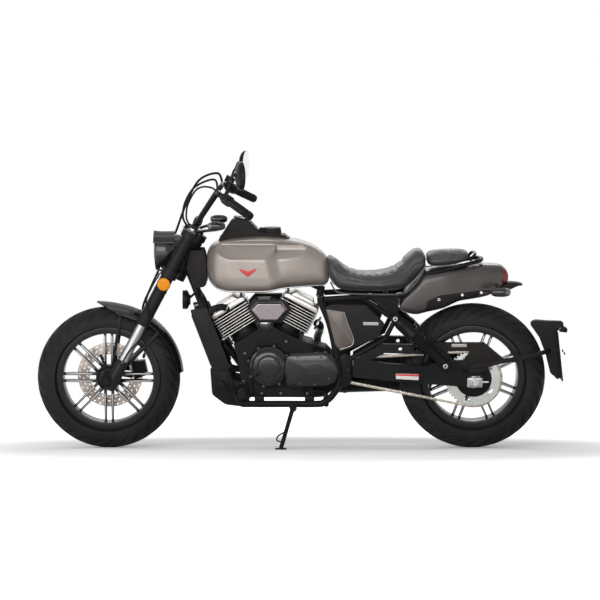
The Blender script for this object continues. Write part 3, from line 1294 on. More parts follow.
def engine_pieces():
    """Rocker covers, fin edges, screws, studs, both engine covers with their screws, and the sump."""
    top = 281.0
    for end in CYLINDERS:
        place = cylinder_place(end)
        piece(end + "_rocker_cover", rocker_cover_part(top), place, "chassis", cover_alloy(),
              "rocker_covers" if end == "front" else ())
        wide, deep, thick = 81.6, 88.6, 3.0
        fins = [plate([(-wide, z), (wide, z), (wide, z + thick), (-wide, z + thick)], -deep, deep, 0.4, 0.8)
                for z in 189.5 + 11.5 * np.arange(8)]
        piece(end + "_fin_edges", joined(*fins), place, "chassis", cover_alloy(), slot="grey_alloy")
        screws = [hex_bolt((x, y, top + 19), UP, 11, 7) for x in (-70, 70) for y in (-58, 0, 58)]
        studs = [lathe([[6, 150], [6, 292]], (x, y, 0), UP, 12) for x in (-66, 66) for y in (-70, 70)]
        piece(end + "_head_screws", joined(*screws), place, "chassis", satin_dark())
        piece(end + "_barrel_studs", joined(*studs), place, "chassis", engine_black(), slot="engine_black")
        edge = lathe([[60, 150.5], [66, 152], [66, 160], [60, 162]], (0, 0, 0), UP, 64, closed=True)
        piece(end + "_barrel_base", edge, place, "chassis", cast_black())
    left, right = node_face("engine_covers"), node_face("engine_covers", left=False)
    drum = [[84, 0], [84, 30], [82, 36], [76, 41], [70, 43], [68, 46], [64, 50], [56, 53.5], [48, 55.5],
            [44, 56], [43, 59], [38, 61], [20, 62.5], [6, 63]]
    alternator = lathe(drum, CRANK + [0, 95.5, 0], LEFT, 96)
    spots = [(87 * np.cos(t), 87 * np.sin(t)) for t in np.radians(np.arange(15, 375, 45))]
    lugs = [lathe([[9, 0], [9, 38], [7, 41]], CRANK + [x, 95.5, z], LEFT, 20) for x, z in spots]
    chassis_piece("alternator_cover", joined(alternator, *lugs), gloss_black(), slot="engine_black", sharp=50)
    screws = [hex_bolt(CRANK + [x, 136, z], LEFT, 10, 5) for x, z in spots]
    screws += [hex_bolt((x, left - 1, z), LEFT, 10, 4) for x, z in
               ((-30, 412), (-128, 410), (-160, 320), (-40, 300), (-100, 296))]
    screws += [hex_bolt((60 + 90 * np.cos(t), right + 7, 345 + 90 * np.sin(t)), (0, -1, 0), 10, 6)
               for t in np.radians(np.arange(20, 380, 36))]
    chassis_piece("cover_screws", joined(*screws), satin_dark())
    teardrop = [(-60, 356), (-80, 376), (-120, 380), (-140, 362), (-120, 344), (-80, 344)]
    cover = [(6, 424), (-148, 430), (-186, 402), (-201, 350), (-186, 305), (-150, 289), (10, 286), (22, 300),
             (28, 350), (22, 408)]
    shell = plate(cover, 101, left + 0.5, 15, 60)
    rim = tube(np.array([(x, left + 1, z) for x, z in softened(teardrop, 18, 6)]), 2.2, 8, closed=True)
    chassis_piece("sprocket_cover", joined(shell, rim), gloss_black(), slot="engine_black", sharp=50)
    ribs = [plate([(x, 246), (x + 7, 246), (x + 7 + lean, 300), (x + lean, 300)], 95, 103, 2, 2)
            for x, lean in ((150, 10), (168, 14), (-76, 0), (-60, 0))]
    sump = plate([(150, 232), (164, 262), (-150, 262), (-140, 238), (-90, 231)], -70, 92, 4, 6)
    chassis_piece("case_ribs", joined(sump, *ribs), cast_black())
    bits = [hex_bolt(p, LEFT, 14, 7, socket=False) for p in
            ((196, 99, 300), (120, 99, 250), (40, 99, 250), (-70, 99, 250), (190, 99, 420), (18, 99, 470))]
    chassis_piece("case_bolts", joined(*bits), satin_dark())


def air_cleaner_pieces():
    """Air cleaner covers on both sides: a dark hexagonal surround and a bright gem-cut plate."""
    surround = [(178, 615), (151, 645), (26, 645), (-3, 611), (35, 552), (139, 552)]
    gem = np.array([(167, 607), (141, 640), (35, 640), (12, 607), (50, 558), (130, 558)], float)
    crown = np.array([(158, 605), (136, 631), (41, 631), (22, 605), (55, 567), (126, 567)], float)
    face = node_face("air_cleaner")
    rings = [in_plane(flat, y)[::-1] for flat, y in
             ((gem, face - 22), (gem, face - 8), (inset(gem, 1.5), face - 6.5), (crown, face + 2),
              (inset(crown, 2), face + 2.6))]
    bright = mirrored(skin(rings))
    chassis_piece("air_cleaner_plates", bright, brushed_plate(), sharp=12)
    dark = mirrored(plate(surround, face - 50, face - 14, 6, 10))
    chassis_piece("air_cleaner_surrounds", dark, dark_plastic())


def radiator_place():
    """The radiator's frame: Z up the down tubes, X ahead of them."""
    c, s = np.cos(np.radians(20.7)), np.sin(np.radians(20.7))
    return BIKE.at((362, 0, 600), [[c, 0, -s], [0, 1, 0], [s, 0, c]])


def radiator_pieces():
    """The radiator's finned core, a folded sheet, between its tanks and rails, its side panels, the
    neck's panels and the coolant hoses with their clips."""
    place = radiator_place()
    z, y = np.meshgrid(np.linspace(-214, -14, 161), np.linspace(-92, 92, 47), indexing="ij")
    fold = 2.2 * (np.abs((z / 5.0) % 1 - 0.5) * 4 - 1) + 0.9 * np.sign(np.sin(y * np.pi / 4))
    core = sheet(np.stack([48 + fold, y, z], -1)[:, ::-1])
    piece("radiator_core", core, place, "chassis", satin_dark(), slot="black_metal", sharp=20)
    tanks = [plate([(16, -228), (56, -228), (56, -2), (16, -2)], y0, y1, 5, 6)
             for y0, y1 in ((-113, -92), (92, 113))]
    rails = [bar([(50, -92, h), (50, 92, h)], 14, 12, AHEAD, 2) for h in (-222, -8)]
    cap = lathe([[14, 0], [14, 8], [11, 12], [5, 13]], (36, 60, -2), UP, 24)
    piece("radiator_tanks", joined(*tanks, *rails, cap), place, "chassis", black_metal())
    panel = [(-18, 6), (50, 24), (54, -40), (54, -236), (40, -260), (-18, -266), (-20, -140)]
    for name, side in (("left", 1), ("right", -1)):
        y0, y1 = sorted((side * 114.4, side * 121))
        piece("radiator_panel_" + name, plate(panel, y0, y1, 2, 8), place, "chassis", dark_plastic(),
              "radiator_shroud" if side > 0 else ())
    neck = [(425, 846), (362, 849), (352, 812), (349, 772), (350, 704), (362, 692), (398, 688), (416, 722),
            (434, 772)]
    slat = [(392, 760), (372, 758), (366, 716), (384, 712)]
    panels = joined(plate(neck, 54.5, 61.5, 2.5, 8), plate(slat, 60, 63.5, 1, 4))
    chassis_piece("neck_panels", mirrored(panels), dark_plastic())
    hose = curve([(356, 96, 560), (330, 100, 600), (290, 88, 612), (262, 70, 604)], 10)
    lower = curve([(300, -96, 372), (270, -98, 336), (226, -92, 322), (196, -80, 330)], 10)
    chassis_piece("coolant_hoses", joined(tube(hose, 14, 18, round_ends=2),
                                          tube(lower, 14, 18, round_ends=2)), soft_rubber())
    rings = [tube(arc_ring(hose[k], hose[k + 1] - hose[k], 15), 1.8, 6, closed=True) for k in (3, 26)]
    chassis_piece("hose_clips", joined(*rings), plated_steel())


def arc_ring(centre, axis, radius):
    """Points of a circle about an axis."""
    axis = unit(np.asarray(axis, float))
    first = unit(np.cross(axis, [0.2, 0.9, 0.3]))
    second = np.cross(axis, first)
    a = full_turn(32)[:, None]
    return np.asarray(centre) + radius * (np.cos(a) * first + np.sin(a) * second)


def horn_pieces():
    """The horn's dished disc with its rings."""
    disc = lathe([[8, -14], [24, -12], [34, -8], [40, -3], [41, 2], [38, 6], [33, 3], [24, 8], [16, 5],
                  [9, 10], [4, 11]], (438, 0, 632), AHEAD, 56)
    chassis_piece("horn_disc", disc, black_metal())


def exhaust_pieces():
    """Two header pipes into one silencer with its bands, shield and flanges, on the right."""
    front = [(289, -45, 462), (276, -50, 440), (248, -98, 395), (202, -148, 320), (150, -172, 245),
             (40, -182, 234), (-80, -186, 240), (-156, -190, 248)]
    rear = [(-109, -50, 528), (-124, -64, 512), (-124, -108, 486), (-114, -150, 438), (-120, -178, 340),
            (-140, -188, 282), (-176, -190, 252)]
    pipes = joined(tube(curve(front, 10), 17, 28), tube(curve(rear, 10), 17, 28))
    a, b = np.array([-150, -190, 248.0]), np.array([-625, -190, 263.0])
    d = unit(b - a)
    can = lathe([[18, 0], [26, 12], [44, 48], [47, 62], [47, 440], [44, 452], [30, 458], [24, 462], [22, 476],
                 [18, 476], [18, 440]], a, d, 56)
    bands = [lathe([[48.4, s], [49.6, s + 2], [49.6, s + 14], [48.4, s + 16]], a, d, 56, closed=True)
             for s in (74, 420)]
    chassis_piece("header_pipes", pipes, header_steel(), "exhaust")
    chassis_piece("silencer", joined(can, *bands), black_metal())
    t, u = np.meshgrid(np.linspace(90, 400, 40), np.radians(np.linspace(-60, 60, 24)), indexing="ij")
    side = unit(np.cross(d, [0, 0, 1.0]))
    up = np.cross(side, d)
    side = side * np.sign(side @ [0, -1, 0])
    outer = a + t[..., None] * d + 52 * (np.cos(u)[..., None] * side + np.sin(u)[..., None] * up)
    thicken(chassis_piece("silencer_shield", sheet(outer), satin_dark(), slot="black_metal"), 0.002)
    flange = [lathe([[20, 0], [30, 0], [30, 8], [20, 8]], p, n, 28, closed=True)
              for p, n in (((288, -45, 463), (-0.53, 0, -0.85)), ((-110, -50, 527), (-0.88, 0, -0.47)))]
    chassis_piece("exhaust_flanges", joined(*flange), plated_steel())


def foot_pieces():
    """Ribbed rubber covers on the pegs and on the gear and brake pedals' tips, and the pivots' bolts."""
    ribs = np.linspace(0, 92, 47)
    outline = np.column_stack([15.4 + 1.4 * np.sign(np.sin(ribs * np.pi / 4.0)), ribs])
    peg = lathe(np.vstack([[[10, 0]], outline, [[10, 92]]]), (201, 206, 274), LEFT, 28)
    tip = lathe([[8.5, 0], [9.5, 2], [9.5, 40], [7, 43]], (284, 162, 301.5), (0, 1, 0.03), 20)
    chassis_piece("peg_rubbers", mirrored(peg, tip), soft_rubber())
    pivots = [hex_bolt((201, 192, 274), LEFT, 16, 6), hex_bolt((200, 146, 262), LEFT, 12, 5)]
    chassis_piece("peg_pivots", mirrored(*pivots), satin_dark())


def stand_pieces():
    """The side stand's tang, and its bolt at the pivot."""
    pivot = joint_point("side_stand_fold")
    axis = np.array(JOINTS["side_stand_fold"]["axis"]) @ BIKE.axes.T
    leg = unit(np.array([0.264, 0.500, -0.825]))
    loop = curve([pivot + leg * s + o for s, o in ((112, [4, 2, 0]), (124, [26, 10, -2]), (142, [30, 12, -4]),
                                                   (154, [12, 5, -2]), (160, [2, 1, 0]))], 8)
    bolt = hex_bolt(pivot + axis * 12, axis, 20, 7, socket=False)
    piece("stand_tang", joined(tube(loop, 3.2, 10, round_ends=2), bolt), BIKE, "side_stand", black_metal())


def swingarm_pieces():
    """The chain adjusters, axle nut, pivot bolts and blank patches of the swingarm."""
    y = node_face("swingarm")
    x, _, z = AXLE["rear"]
    block = plate([(x + 34, z - 20), (x + 34, z + 20), (x - 30, z + 20), (x - 30, z - 20)], y + 0.2, y + 7,
                  1.5, 5)
    chassis_piece("adjuster_blocks", mirrored(block), satin_alloy(), slot="steel")
    nut = hex_bolt((x, y + 6, z), LEFT, 30, 12, socket=False)
    screw = lathe([[4, 0], [4, 34]], (x - 22, y - 12, z), (-1, 0, 0), 12)
    pivot = hex_bolt((-241, 113, 348), LEFT, 26, 9, socket=False)
    chassis_piece("axle_nuts", mirrored(nut, screw, pivot), plated_steel())
    low = mirrored(plate([(-438, 324), (-532, 319), (-533, 344), (-438, 347)], y, y + 0.7, 0.2, 2))
    chassis_piece("swingarm_patches", low, blank_label("patch_pale", (0.62, 0.60, 0.58)), slot="frame_paint")
    stripe = mirrored(plate([(-439, 338), (-532, 334), (-533, 343.5), (-439, 346.5)], y + 0.5, y + 0.9, 0.1,
                            1))
    chassis_piece("swingarm_patch_stripes", stripe, blank_label("patch_red", (0.50, 0.04, 0.04)),
                  slot="frame_paint")
    guard = plate([(-672, 446), (-736, 446), (-736, 459), (-672, 459)], 104.8, 105.6, 0.2, 2)
    chassis_piece("guard_patch", guard, blank_label("patch_grey", (0.35, 0.34, 0.33)), slot="dark_plastic")


# ------------------------------------------------------------------ front end

BAR_RUN = [(27, 0, 762), (27, 50, 762), (26, 72, 772), (20, 100, 838), (14, 122, 896), (9, 146, 920),
           (7, 222, 928), (-2, 262, 927), (-20, 278, 926), (-138, 395, 921)]
GRIP_END = np.array([-138.0, 395.0, 921.0])
GRIP_RUN = unit(GRIP_END - np.array([-4.0, 262.0, 927.0]))
LEVER_WAY = unit(np.cross(GRIP_RUN, [0, 0, 1.0]))
GRIP_START = GRIP_END - 121 * GRIP_RUN
HUB = GRIP_START - 22 * GRIP_RUN
PERCH = HUB + 34 * LEVER_WAY
LEG = np.array([32.0, 100.0, 0.0])


def bar_pieces():
    """Handlebar with risers and clamps, ribbed grips, switch housings, levers and reservoirs."""
    half = curve(BAR_RUN, 8)
    whole = np.vstack([half[::-1] * FLIP, half[1:]])
    clamps = []
    for y in (-38, 38):
        clamps.append(lathe([[15, 719.5], [15, 738], [12, 744], [12, 756]], (27, y, 0), UP, 28))
        clamps.append(lathe([[14, -13], [19, -11], [19, 11], [14, 13]], (27, y, 762), LEFT, 32))
    fork_piece("bar_tube", joined(tube(whole, 11, 22), *clamps), black_metal(), "handlebar")
    s = np.linspace(2, 116, 96)
    swell = 16.2 + 1.0 * np.exp(-((s - 58) / 40)**2) + 0.7 * np.sign(np.sin(s * np.pi / 3.2))
    outline = np.vstack([[[12, 0]], [[19, 0]], [[19, 2.5]], np.column_stack([swell, s]), [[18, 117]],
                         [[18, 122]], [[15, 124]], [[12, 124]]])
    fork_piece("grip_rubbers", mirrored(lathe(outline, GRIP_START, GRIP_RUN, 28)), soft_rubber(), "grips")
    weight = lathe([[10, 124], [16, 125], [17, 130], [16, 134], [8, 136]], GRIP_START, GRIP_RUN, 28)
    fork_piece("bar_end_weights", mirrored(weight), black_metal())
    box = lathe([[15, -21], [22, -18], [23, -6], [23, 8], [22, 18], [18, 20]], HUB, GRIP_RUN, 28)
    tab = [bar([HUB + [0, 0, 4] - 12 * LEVER_WAY + GRIP_RUN * o, HUB + [0, 0,
                                                                        8] - 28 * LEVER_WAY + GRIP_RUN * o],
               12, 9, UP, 1.5) for o in (-10, 4)]
    arm = tube(np.array([HUB + 12 * LEVER_WAY, PERCH]), [11, 10], 20)
    lever = curve([PERCH + out * LEVER_WAY + far * GRIP_RUN for out, far in
                   ((0, 0), (8, 30), (15, 70), (19, 110), (14, 150))], 8)
    wide = np.interp(np.linspace(0, 1, len(lever)), [0, 0.2, 0.7, 0.95, 1], [9, 6.5, 5.5, 6, 7.5])
    fork_piece("switch_housings", mirrored(box, arm, *tab), black_metal(), "hand_controls")
    fork_piece("levers", mirrored(tube(lever, wide, 14, round_ends=5)), black_metal())
    pot_at = (HUB + 33 * LEVER_WAY) * FLIP
    pot = lathe([[18, 10], [21, 12], [21, 30], [22, 31], [22, 38], [20, 41], [6, 42]], pot_at, UP, 36)
    fork_piece("brake_reservoir", pot, black_metal())
    fork_piece("reservoir_screws", joined(*[hex_bolt(pot_at + [c * 14, d * 14, 41], UP, 6, 2)
                                            for c, d in ((1, 1), (-1, -1))]), plated_steel())


def mirror_pieces():
    """Round mirrors on bent stalks: a domed shell, its rim and a slightly convex glass facing back."""
    clamp = GRIP_START - 48 * GRIP_RUN
    centre = np.array([-37.0, 330.0, 1040.0])
    c28, s28 = np.cos(np.radians(28)), np.sin(np.radians(28))
    c14, s14 = np.cos(np.radians(14)), np.sin(np.radians(14))
    face = np.array([c28 * c14, s14, -s28 * c14])
    stalk = curve([clamp + [0, 0, 10], clamp + [2, 1, 30], clamp + [8, 6, 66], centre + [26, -16, -30],
                   centre + [27, -13, -6], centre + 22 * face, centre + 14 * face], 8)
    ring = lathe([[12, -6], [17, -5], [17, 5], [12, 6]], clamp, GRIP_RUN, 28)
    shell = lathe([[57, -8], [58.5, -5], [58, 0], [54, 7], [44, 13], [28, 18], [12, 20]], centre, face, 56)
    fork_piece("mirror_shells", mirrored(shell, tube(stalk, 5, 14), ring), black_metal(), "mirrors")
    glass = lathe([[56, -8.2], [54, -9], [36, -10.4], [16, -11.1]], centre, face, 56)
    fork_piece("mirror_glasses", mirrored(glass), mirror_glass())


def headlight_pieces():
    """The headlight: a drum with a brow and bezel, flattened behind along the fork, with its bowl,
    inner lamp and a domed clear lens."""
    centre = bike_point(FORK, (72, 0, 596))
    shell = lathe([[20, -80], [54, -78], [64, -66], [69, -40], [71, -16], [80, 6], [84, 24], [84.5, 46],
                   [83, 56], [80, 60], [77, 59], [76, 54], [60, 20], [30, 4]], centre, AHEAD, 72)
    verts, faces = shell
    local = FORK.local(BIKE(verts))
    ahead, back = local[:, 0], 46
    local[:, 0] = 0.5 * (ahead + back + np.sqrt((ahead - back)**2 + 6**2))
    fork_piece("headlight_shell", (local, faces), gloss_black(), "headlight")
    t, u = np.meshgrid(np.linspace(-20, 67, 40), np.radians(np.linspace(28, 152, 40)), indexing="ij")
    radius = 85.5 + 3.0 * step_between(t, 40, 67)
    brow = np.stack([centre[0] + t, radius * np.cos(u), centre[2] + radius * np.sin(u)], -1)
    thicken(front_piece("headlight_brow", sheet(brow), gloss_black()), 0.002)
    bowl = lathe([[76, 52], [62, 30], [40, 14], [22, 10]], centre, AHEAD, 56)
    front_piece("headlight_bowl", bowl, mirror_glass(), slot="bright_alloy")
    inner = lathe([[26, 12], [34, 30], [32, 44], [28, 47], [26, 44], [10, 46]], centre, AHEAD, 40)
    front_piece("headlight_lamp", inner, satin_alloy())
    lens = lathe([[77, 55], [74, 59], [58, 64], [36, 67.5], [14, 69]], centre, AHEAD, 64)
    front_piece("headlight_lens", lens, clear_glass("headlight_glass", (0.92, 0.93, 0.94)),
                slot="gloss_black")


def fender_pieces():
    """The front fender: an arc round the tyre whose cross-section opens from a pointed tip to a full
    hood and narrows to the rear tip, with a rolled edge and forked stays."""
    x0, _, z0 = AXLE["front"]
    swing = np.linspace(82, 175.5, 120)
    half = np.interp(swing, [82, 86, 92, 100, 112, 122, 128, 150, 168, 175.5],
                     [10, 26, 44, 56, 57, 53, 48, 46, 42, 34])
    across = np.linspace(-1, 1, 41)
    lift = np.interp(swing, [82, 90, 100, 175.5], [12, 6, 1.5, 0])
    a, t = np.radians(swing)[:, None], np.radians(half)[:, None] * across[None, :]
    crown = 82 + lift[:, None] * 0.3
    ridge = 2.2 * np.exp(-(t / 0.16)**2)
    radius = WHEELS["front"]["core"] + (crown + ridge) * np.cos(t) + lift[:, None] * 0.7
    points = np.stack([x0 + radius * np.cos(a), (crown + 1) * np.sin(t), z0 + radius * np.sin(a)], -1)
    obj = front_piece("fender_blade", sheet(points[:, ::-1]), gloss_black(), "front_fender")
    thicken(obj, 0.0032)
    hem = joined(tube(points[:, 0], 2.4, 8), tube(points[:, -1], 2.4, 8))
    front_piece("fender_hem", hem, black_metal(), slot="gloss_black")
    stays = []
    for deg, leg_at in ((102, (55.6, 81, 50)), (138, (8.4, 81, 90))):
        x, y, z = points[np.argmin(np.abs(swing - deg)), -1]
        top = np.array([x, abs(y), z])
        foot = bike_point(FORK, leg_at)
        stays.append(bar([top + (0, 3, 4), foot], 15, 5, (1, 0, 0.3), 1.2, 0.8))
        stays.append(hex_bolt(top + (0, 4, -4), LEFT, 11, 5))
    front_piece("fender_stays", mirrored(*stays), black_metal(), slot="gloss_black")


def fork_pieces():
    """The fork legs' tubes, feet, seals and caps, the yokes' bolts, the amber reflectors, and the axle's
    lugs and nuts."""
    seals = lathe([[21, 277], [26, 278], [28.5, 284], [28.5, 296], [27.2, 300]], LEG, UP, 36)
    caps = [lathe([[27.2, 716], [24, 722], [20, 724], [19, 728]], LEG, UP, 36),
            hex_bolt(LEG + [0, 0, 727], UP, 24, 8, socket=False)]
    bands = [lathe([[27.3, z], [28.6, z + 1.5], [28.6, z + 6], [27.3, z + 7.5]], LEG, UP, 36, closed=True)
             for z in (330, 440, 668)]
    fork_piece("fork_seals", mirrored(seals, *bands), soft_rubber())
    inner = lathe([[20.5, 92], [20.5, 345]], LEG, UP, 36)
    fork_piece("slider_tubes", mirrored(inner), satin_alloy(), "fork_sliders")
    foot = lathe([[18, -30], [24, -27], [26, -14], [26, 84], [24.5, 92], [27, 96], [27, 104], [21, 108]], LEG,
                 UP, 36)
    lug = bar([(20, 101, 0), (54, 101, 0)], 26, 44, UP, 5)
    fork_piece("slider_feet", mirrored(foot, lug), engine_black())
    fork_piece("fork_caps", mirrored(*caps), satin_alloy(), slot="grey_alloy")
    pinch = [hex_bolt((70.2, 91, z), AHEAD, 12, 6) for z in (525, 705)]
    nut = hex_bolt((0, 0, 724), UP, 32, 12, socket=False)
    fork_piece("yoke_bolts", joined(mirrored(*pinch), nut), plated_steel())
    low = bike_point(FORK, (32, 0, 476))
    glow = lathe([[26, 0], [26.5, 2], [26.5, 6], [24, 8.5], [12, 9.5]], low + [0, 127.5, 0], LEFT, 48)
    ring = lathe([[27.5, -0.4], [28.5, 2], [28.2, 5], [26.6, 5.5]], low + [0, 127.5, 0], LEFT, 48,
                 closed=True)
    front_piece("amber_reflectors", mirrored(glow), amber_lens())
    front_piece("reflector_rims", mirrored(ring), black_metal())
    x, _, z = AXLE["front"]
    drop = lathe([[24, -26], [27, -22], [27, 22], [24, 26]], (x, 100, z), LEFT, 36)
    nut = hex_bolt((x, 126, z), LEFT, 28, 10, socket=False)
    front_piece("axle_lugs", mirrored(drop), cast_black(), slot="black_metal")
    front_piece("front_axle_nuts", mirrored(nut), black_metal())


def frame_pieces():
    """The frame as smooth bent tubes: a spline through the tube's bends, swept with a round section,
    with cast side plates, pivot plates, mounting blocks and cross tubes."""
    start = bike_point(FORK, (-18, 22, 575))
    low = [start, (392, 36, 668), (362, 88, 600), (262, 100, 335), (232, 112, 240), (206, 121, 211),
           (160, 122, 208), (20, 122, 208), (-112, 122, 208), (-142, 121, 216), (-178, 118, 247),
           (-203, 117, 317), (-170, 115, 520), (-123, 112, 646)]
    side = tube(curve(low, 8), 14, 20)
    casting = plate([(336, 362), (328, 245), (274, 203), (169, 190), (172, 226), (180, 298), (236, 302),
                     (262, 348)], 96, 112, 4, 14)
    pivot = plate([(-188, 400), (-186, 300), (-225, 275), (-256, 296), (-256, 404), (-228, 418)], 102, 118, 4,
                  10)
    blocks = [plate([(x, 204), (x + 40, 204), (x + 40, 240), (x, 240)], 95.3, 121, 3, 6) for x in (-100, 110)]
    both = mirrored(side, casting, pivot, *blocks)
    spine = tube(curve([bike_point(FORK, (-14, 0, 618)), (300, 0, 766), (150, 0, 787), (0, 0, 750),
                        (-130, 0, 690)], 8), 23, 24)
    cross = [tube(np.array([(x, -half, z), (x, half, z)], float), r, 16, round_ends=2)
             for x, z, r, half in ((415, 798, 8, 54), (392, 668, 9, 36), (262, 335, 11, 100),
                                   (-150, 206, 11, 122), (-123, 646, 12, 112), (-241, 348, 9, 118))]
    back = tube(np.array([(-130, 0, 690), (-123, 0, 646)], float), 16, 20)
    caps = mirrored(hex_bolt((-241, 118, 348), LEFT, 26, 7, socket=False))
    chassis_piece("frame_tubes", joined(both, spine, back, *cross, caps), frame_paint(), "frame")
    head = lathe([[24, 543.4], [32, 545], [33.5, 552], [33.5, 560], [32, 566], [32, 668], [33.5, 674],
                  [33.5, 683], [32, 689], [24, 690.6]], (0, 0, 0), UP, 48)
    piece("head_tube", head, FORK, "chassis", frame_paint())


def indicator_pieces():
    """Bullet front indicators on short stems, clear in front."""
    at = bike_point(FORK, (-49, 0, 796))
    bodies, lenses, stems = [], [], []
    for side in (-1, 1):
        p = (at[0] - 36, side * 150, at[2])
        bodies.append(lathe([[5, 0], [12, 4], [17.5, 18], [18.5, 44], [18, 56], [16, 58]], p, AHEAD, 40))
        lenses.append(lathe([[16.8, 58], [16, 64], [11, 71], [5, 74]], p, AHEAD, 40))
        foot = bike_point(FORK, (-4, side * 84, 722))
        top = np.array([at[0] - 4, side * 146, at[2] - 14])
        stems.append(tube(curve([foot, foot + [0, side * 6, 14], top], 8), 6.5, 14))
    front_piece("front_indicator_bodies", joined(*bodies, *stems), gloss_black(), "front_indicators",
                slot="lamp_plastic")
    front_piece("front_indicator_lenses", joined(*lenses), smoked_lens())


def perch_point(inboard):
    """Where a hose leaves a lever's perch."""
    return PERCH - 5 * LEVER_WAY - inboard * GRIP_RUN


def cable_pieces():
    """Hoses and cables on the routes of the construction model, each a smooth tube with end sleeves."""
    routes = [(5, [perch_point(11.9) * FLIP, perch_point(34) * FLIP, (48, -196, 962), (104, -160, 900),
                   (104, -128, 780), (88, -120, 660), (79, -116, 520), (72, -117, 400), (62, -128, 310),
                   (16, -138, 228), (-28, -124, 160), (-40, -94, 126)]),
              (4.5, [perch_point(11.9), perch_point(34), (48, 190, 966), (104, 146, 900), (112, 92, 820),
                     (92, 60, 756), (60, 52, 730), (44, 48, 725)]),
              (4, [(HUB - 8 * GRIP_RUN - [0, 0, 22.3]) * FLIP, (HUB - 12 * GRIP_RUN - [0, 0, 46]) * FLIP,
                   (44, -190, 895), (92, -142, 868), (98, -96, 800), (80, -64, 750), (58, -54, 730),
                   (42, -50, 725)]), (3.5, [(68, 106, 505), (70, 112, 440), (64, 124, 380), (30, 141, 330),
                                            (12, 138, 240), (30, 130.5, 150), (32, 130, 92)])]
    tubes = [tube(curve(points, 8), radius, 12, round_ends=2) for radius, points in routes]
    fork_piece("front_hoses", joined(*tubes), soft_rubber(), "front_cables")
    runs = [(radius + 1.8, curve(points, 8)) for radius, points in routes]
    sleeves = [tube(run[k:k + 3], radius, 12, round_ends=1) for radius, run in runs
               for k in (1, len(run) - 4)]
    fork_piece("hose_sleeves", joined(*sleeves), satin_dark())


# ------------------------------------------------------------------ stage


def seen_rays(tree):
    """1 where the camera, a glossy or a transmitted ray sees the surface."""
    rays = shader_node(tree, "LightPath", {}).outputs
    total = rays["Is Camera Ray"]
    for name in ("Is Glossy Ray", "Is Transmission Ray"):
        total = shader_node(tree, "Math", {0: total, 1: rays[name]}, operation="MAXIMUM").outputs[0]
    return total


def floor_finish(look):
    """A matte floor, grey for the light that it returns and paler where it is seen, glowing further out."""
    mat = bpy.data.materials.new("studio_floor")
    mat.use_nodes = True
    tree = mat.node_tree
    tree.nodes.clear()
    seen = seen_rays(tree)
    sockets = {"A": (0.82, 0.82, 0.82, 1), "B": (*[look.floor_white] * 3, 1), "Factor": seen}
    tint = shader_node(tree, "Mix", sockets, data_type="RGBA")
    matte = shader_node(tree, "BsdfDiffuse", {"Color": tint.outputs["Result"]})
    space = shader_node(tree, "TexCoord", {})
    far = shader_node(tree, "VectorMath", {0: space.outputs["Object"]}, operation="LENGTH")
    sockets = {"From Min": 1.1, "From Max": 2.4, "To Min": look.floor_glow, "To Max": 1.0,
               "Value": far.outputs["Value"]}
    share = shader_node(tree, "MapRange", sockets, interpolation_type="SMOOTHSTEP")
    level = shader_node(tree, "Math", {0: seen, 1: share.outputs["Result"]}, operation="MULTIPLY")
    glow = shader_node(tree, "Emission", {"Color": (1, 1, 1, 1), "Strength": level.outputs[0]})
    both = shader_node(tree, "AddShader", {0: matte.outputs[0], 1: glow.outputs[0]})
    shader_node(tree, "OutputMaterial", {0: both.outputs[0]})
    return mat


def studio_world(look):
    """A white world, at a plain level for the light that it gives and at 1 where it is seen."""
    world = bpy.data.worlds.new("studio")
    world.use_nodes = True
    tree = world.node_tree
    sockets = {"To Min": look.world_level, "To Max": 1.0, "Value": seen_rays(tree)}
    level = shader_node(tree, "MapRange", sockets)
    back = tree.nodes["Background"]
    back.inputs["Color"].default_value = (1, 1, 1, 1)
    tree.links.new(level.outputs["Result"], back.inputs["Strength"])
    return world


def stage_pieces():
    """A pale floor, softboxes round and over the machine, a plain world and the camera."""
    scene = bpy.context.scene
    look = scene.cruiser_stage
    floor = bpy.data.meshes.new("floor")
    span = 14.0
    floor.from_pydata([(-span, -span, 0), (span, -span, 0), (span, span, 0), (-span, span, 0)], [],
                      [(0, 1, 2, 3)])
    floor.materials.append(floor_finish(look))
    floor_obj = bpy.data.objects.new("studio_floor", floor)
    scene.collection.objects.link(floor_obj)
    scene.world = studio_world(look)
    for name, place, aim, size, share in (
            ("side_softbox", (0.9, 4.6, 1.5), (0, 0, 0.5), (4.6, 2.2), 0.8),
            ("front_softbox", (4.3, 3.6, 1.6), (0, 0, 0.5), (1.6, 2.4), 0.25),
            ("top_softbox", (0.0, 0.1, 6.0), (0, 0, 0), (5.0, 1.6), 0.12),
            ("back_lamp", (0, -3.6, 2.6), (0, 0, 0.5), (3.0, 1.0), 0.12)):
        lamp = bpy.data.lights.new(name, "AREA")
        lamp.shape = "RECTANGLE"
        lamp.size, lamp.size_y = size
        lamp.energy = look.lamp_power * share
        aim_at(lamp, place, aim)
    camera = bpy.data.cameras.new("camera")
    camera.lens = look.lens
    camera.sensor_width = 36
    middle = -0.0015
    rise = look.distance * np.tan(look.pitch)
    scene.camera = aim_at(camera, (middle, look.distance, look.height), (middle, 0, look.height + rise))
    scene.view_settings.view_transform = "Standard"


def aim_at(data, place, target):
    """A lamp or camera at a place, pointed at a target."""
    obj = bpy.data.objects.new(data.name, data)
    bpy.context.scene.collection.objects.link(obj)
    obj.location = place
    obj.rotation_euler = (Vector(target) - Vector(place)).to_track_quat("-Z", "Y").to_euler()
    return obj


# ------------------------------------------------------------------ operators and panel


def operator(idname, label, doc, *steps):
    """An operator class that runs build steps in order."""

    def execute(self, context):
        for step in steps:
            step()
        return {"FINISHED"}

    name = "CRUISER_OT_" + idname
    return type(name, (bpy.types.Operator,), {
        "bl_idname": "cruiser." + idname, "bl_label": label, "__doc__": doc, "execute": execute})


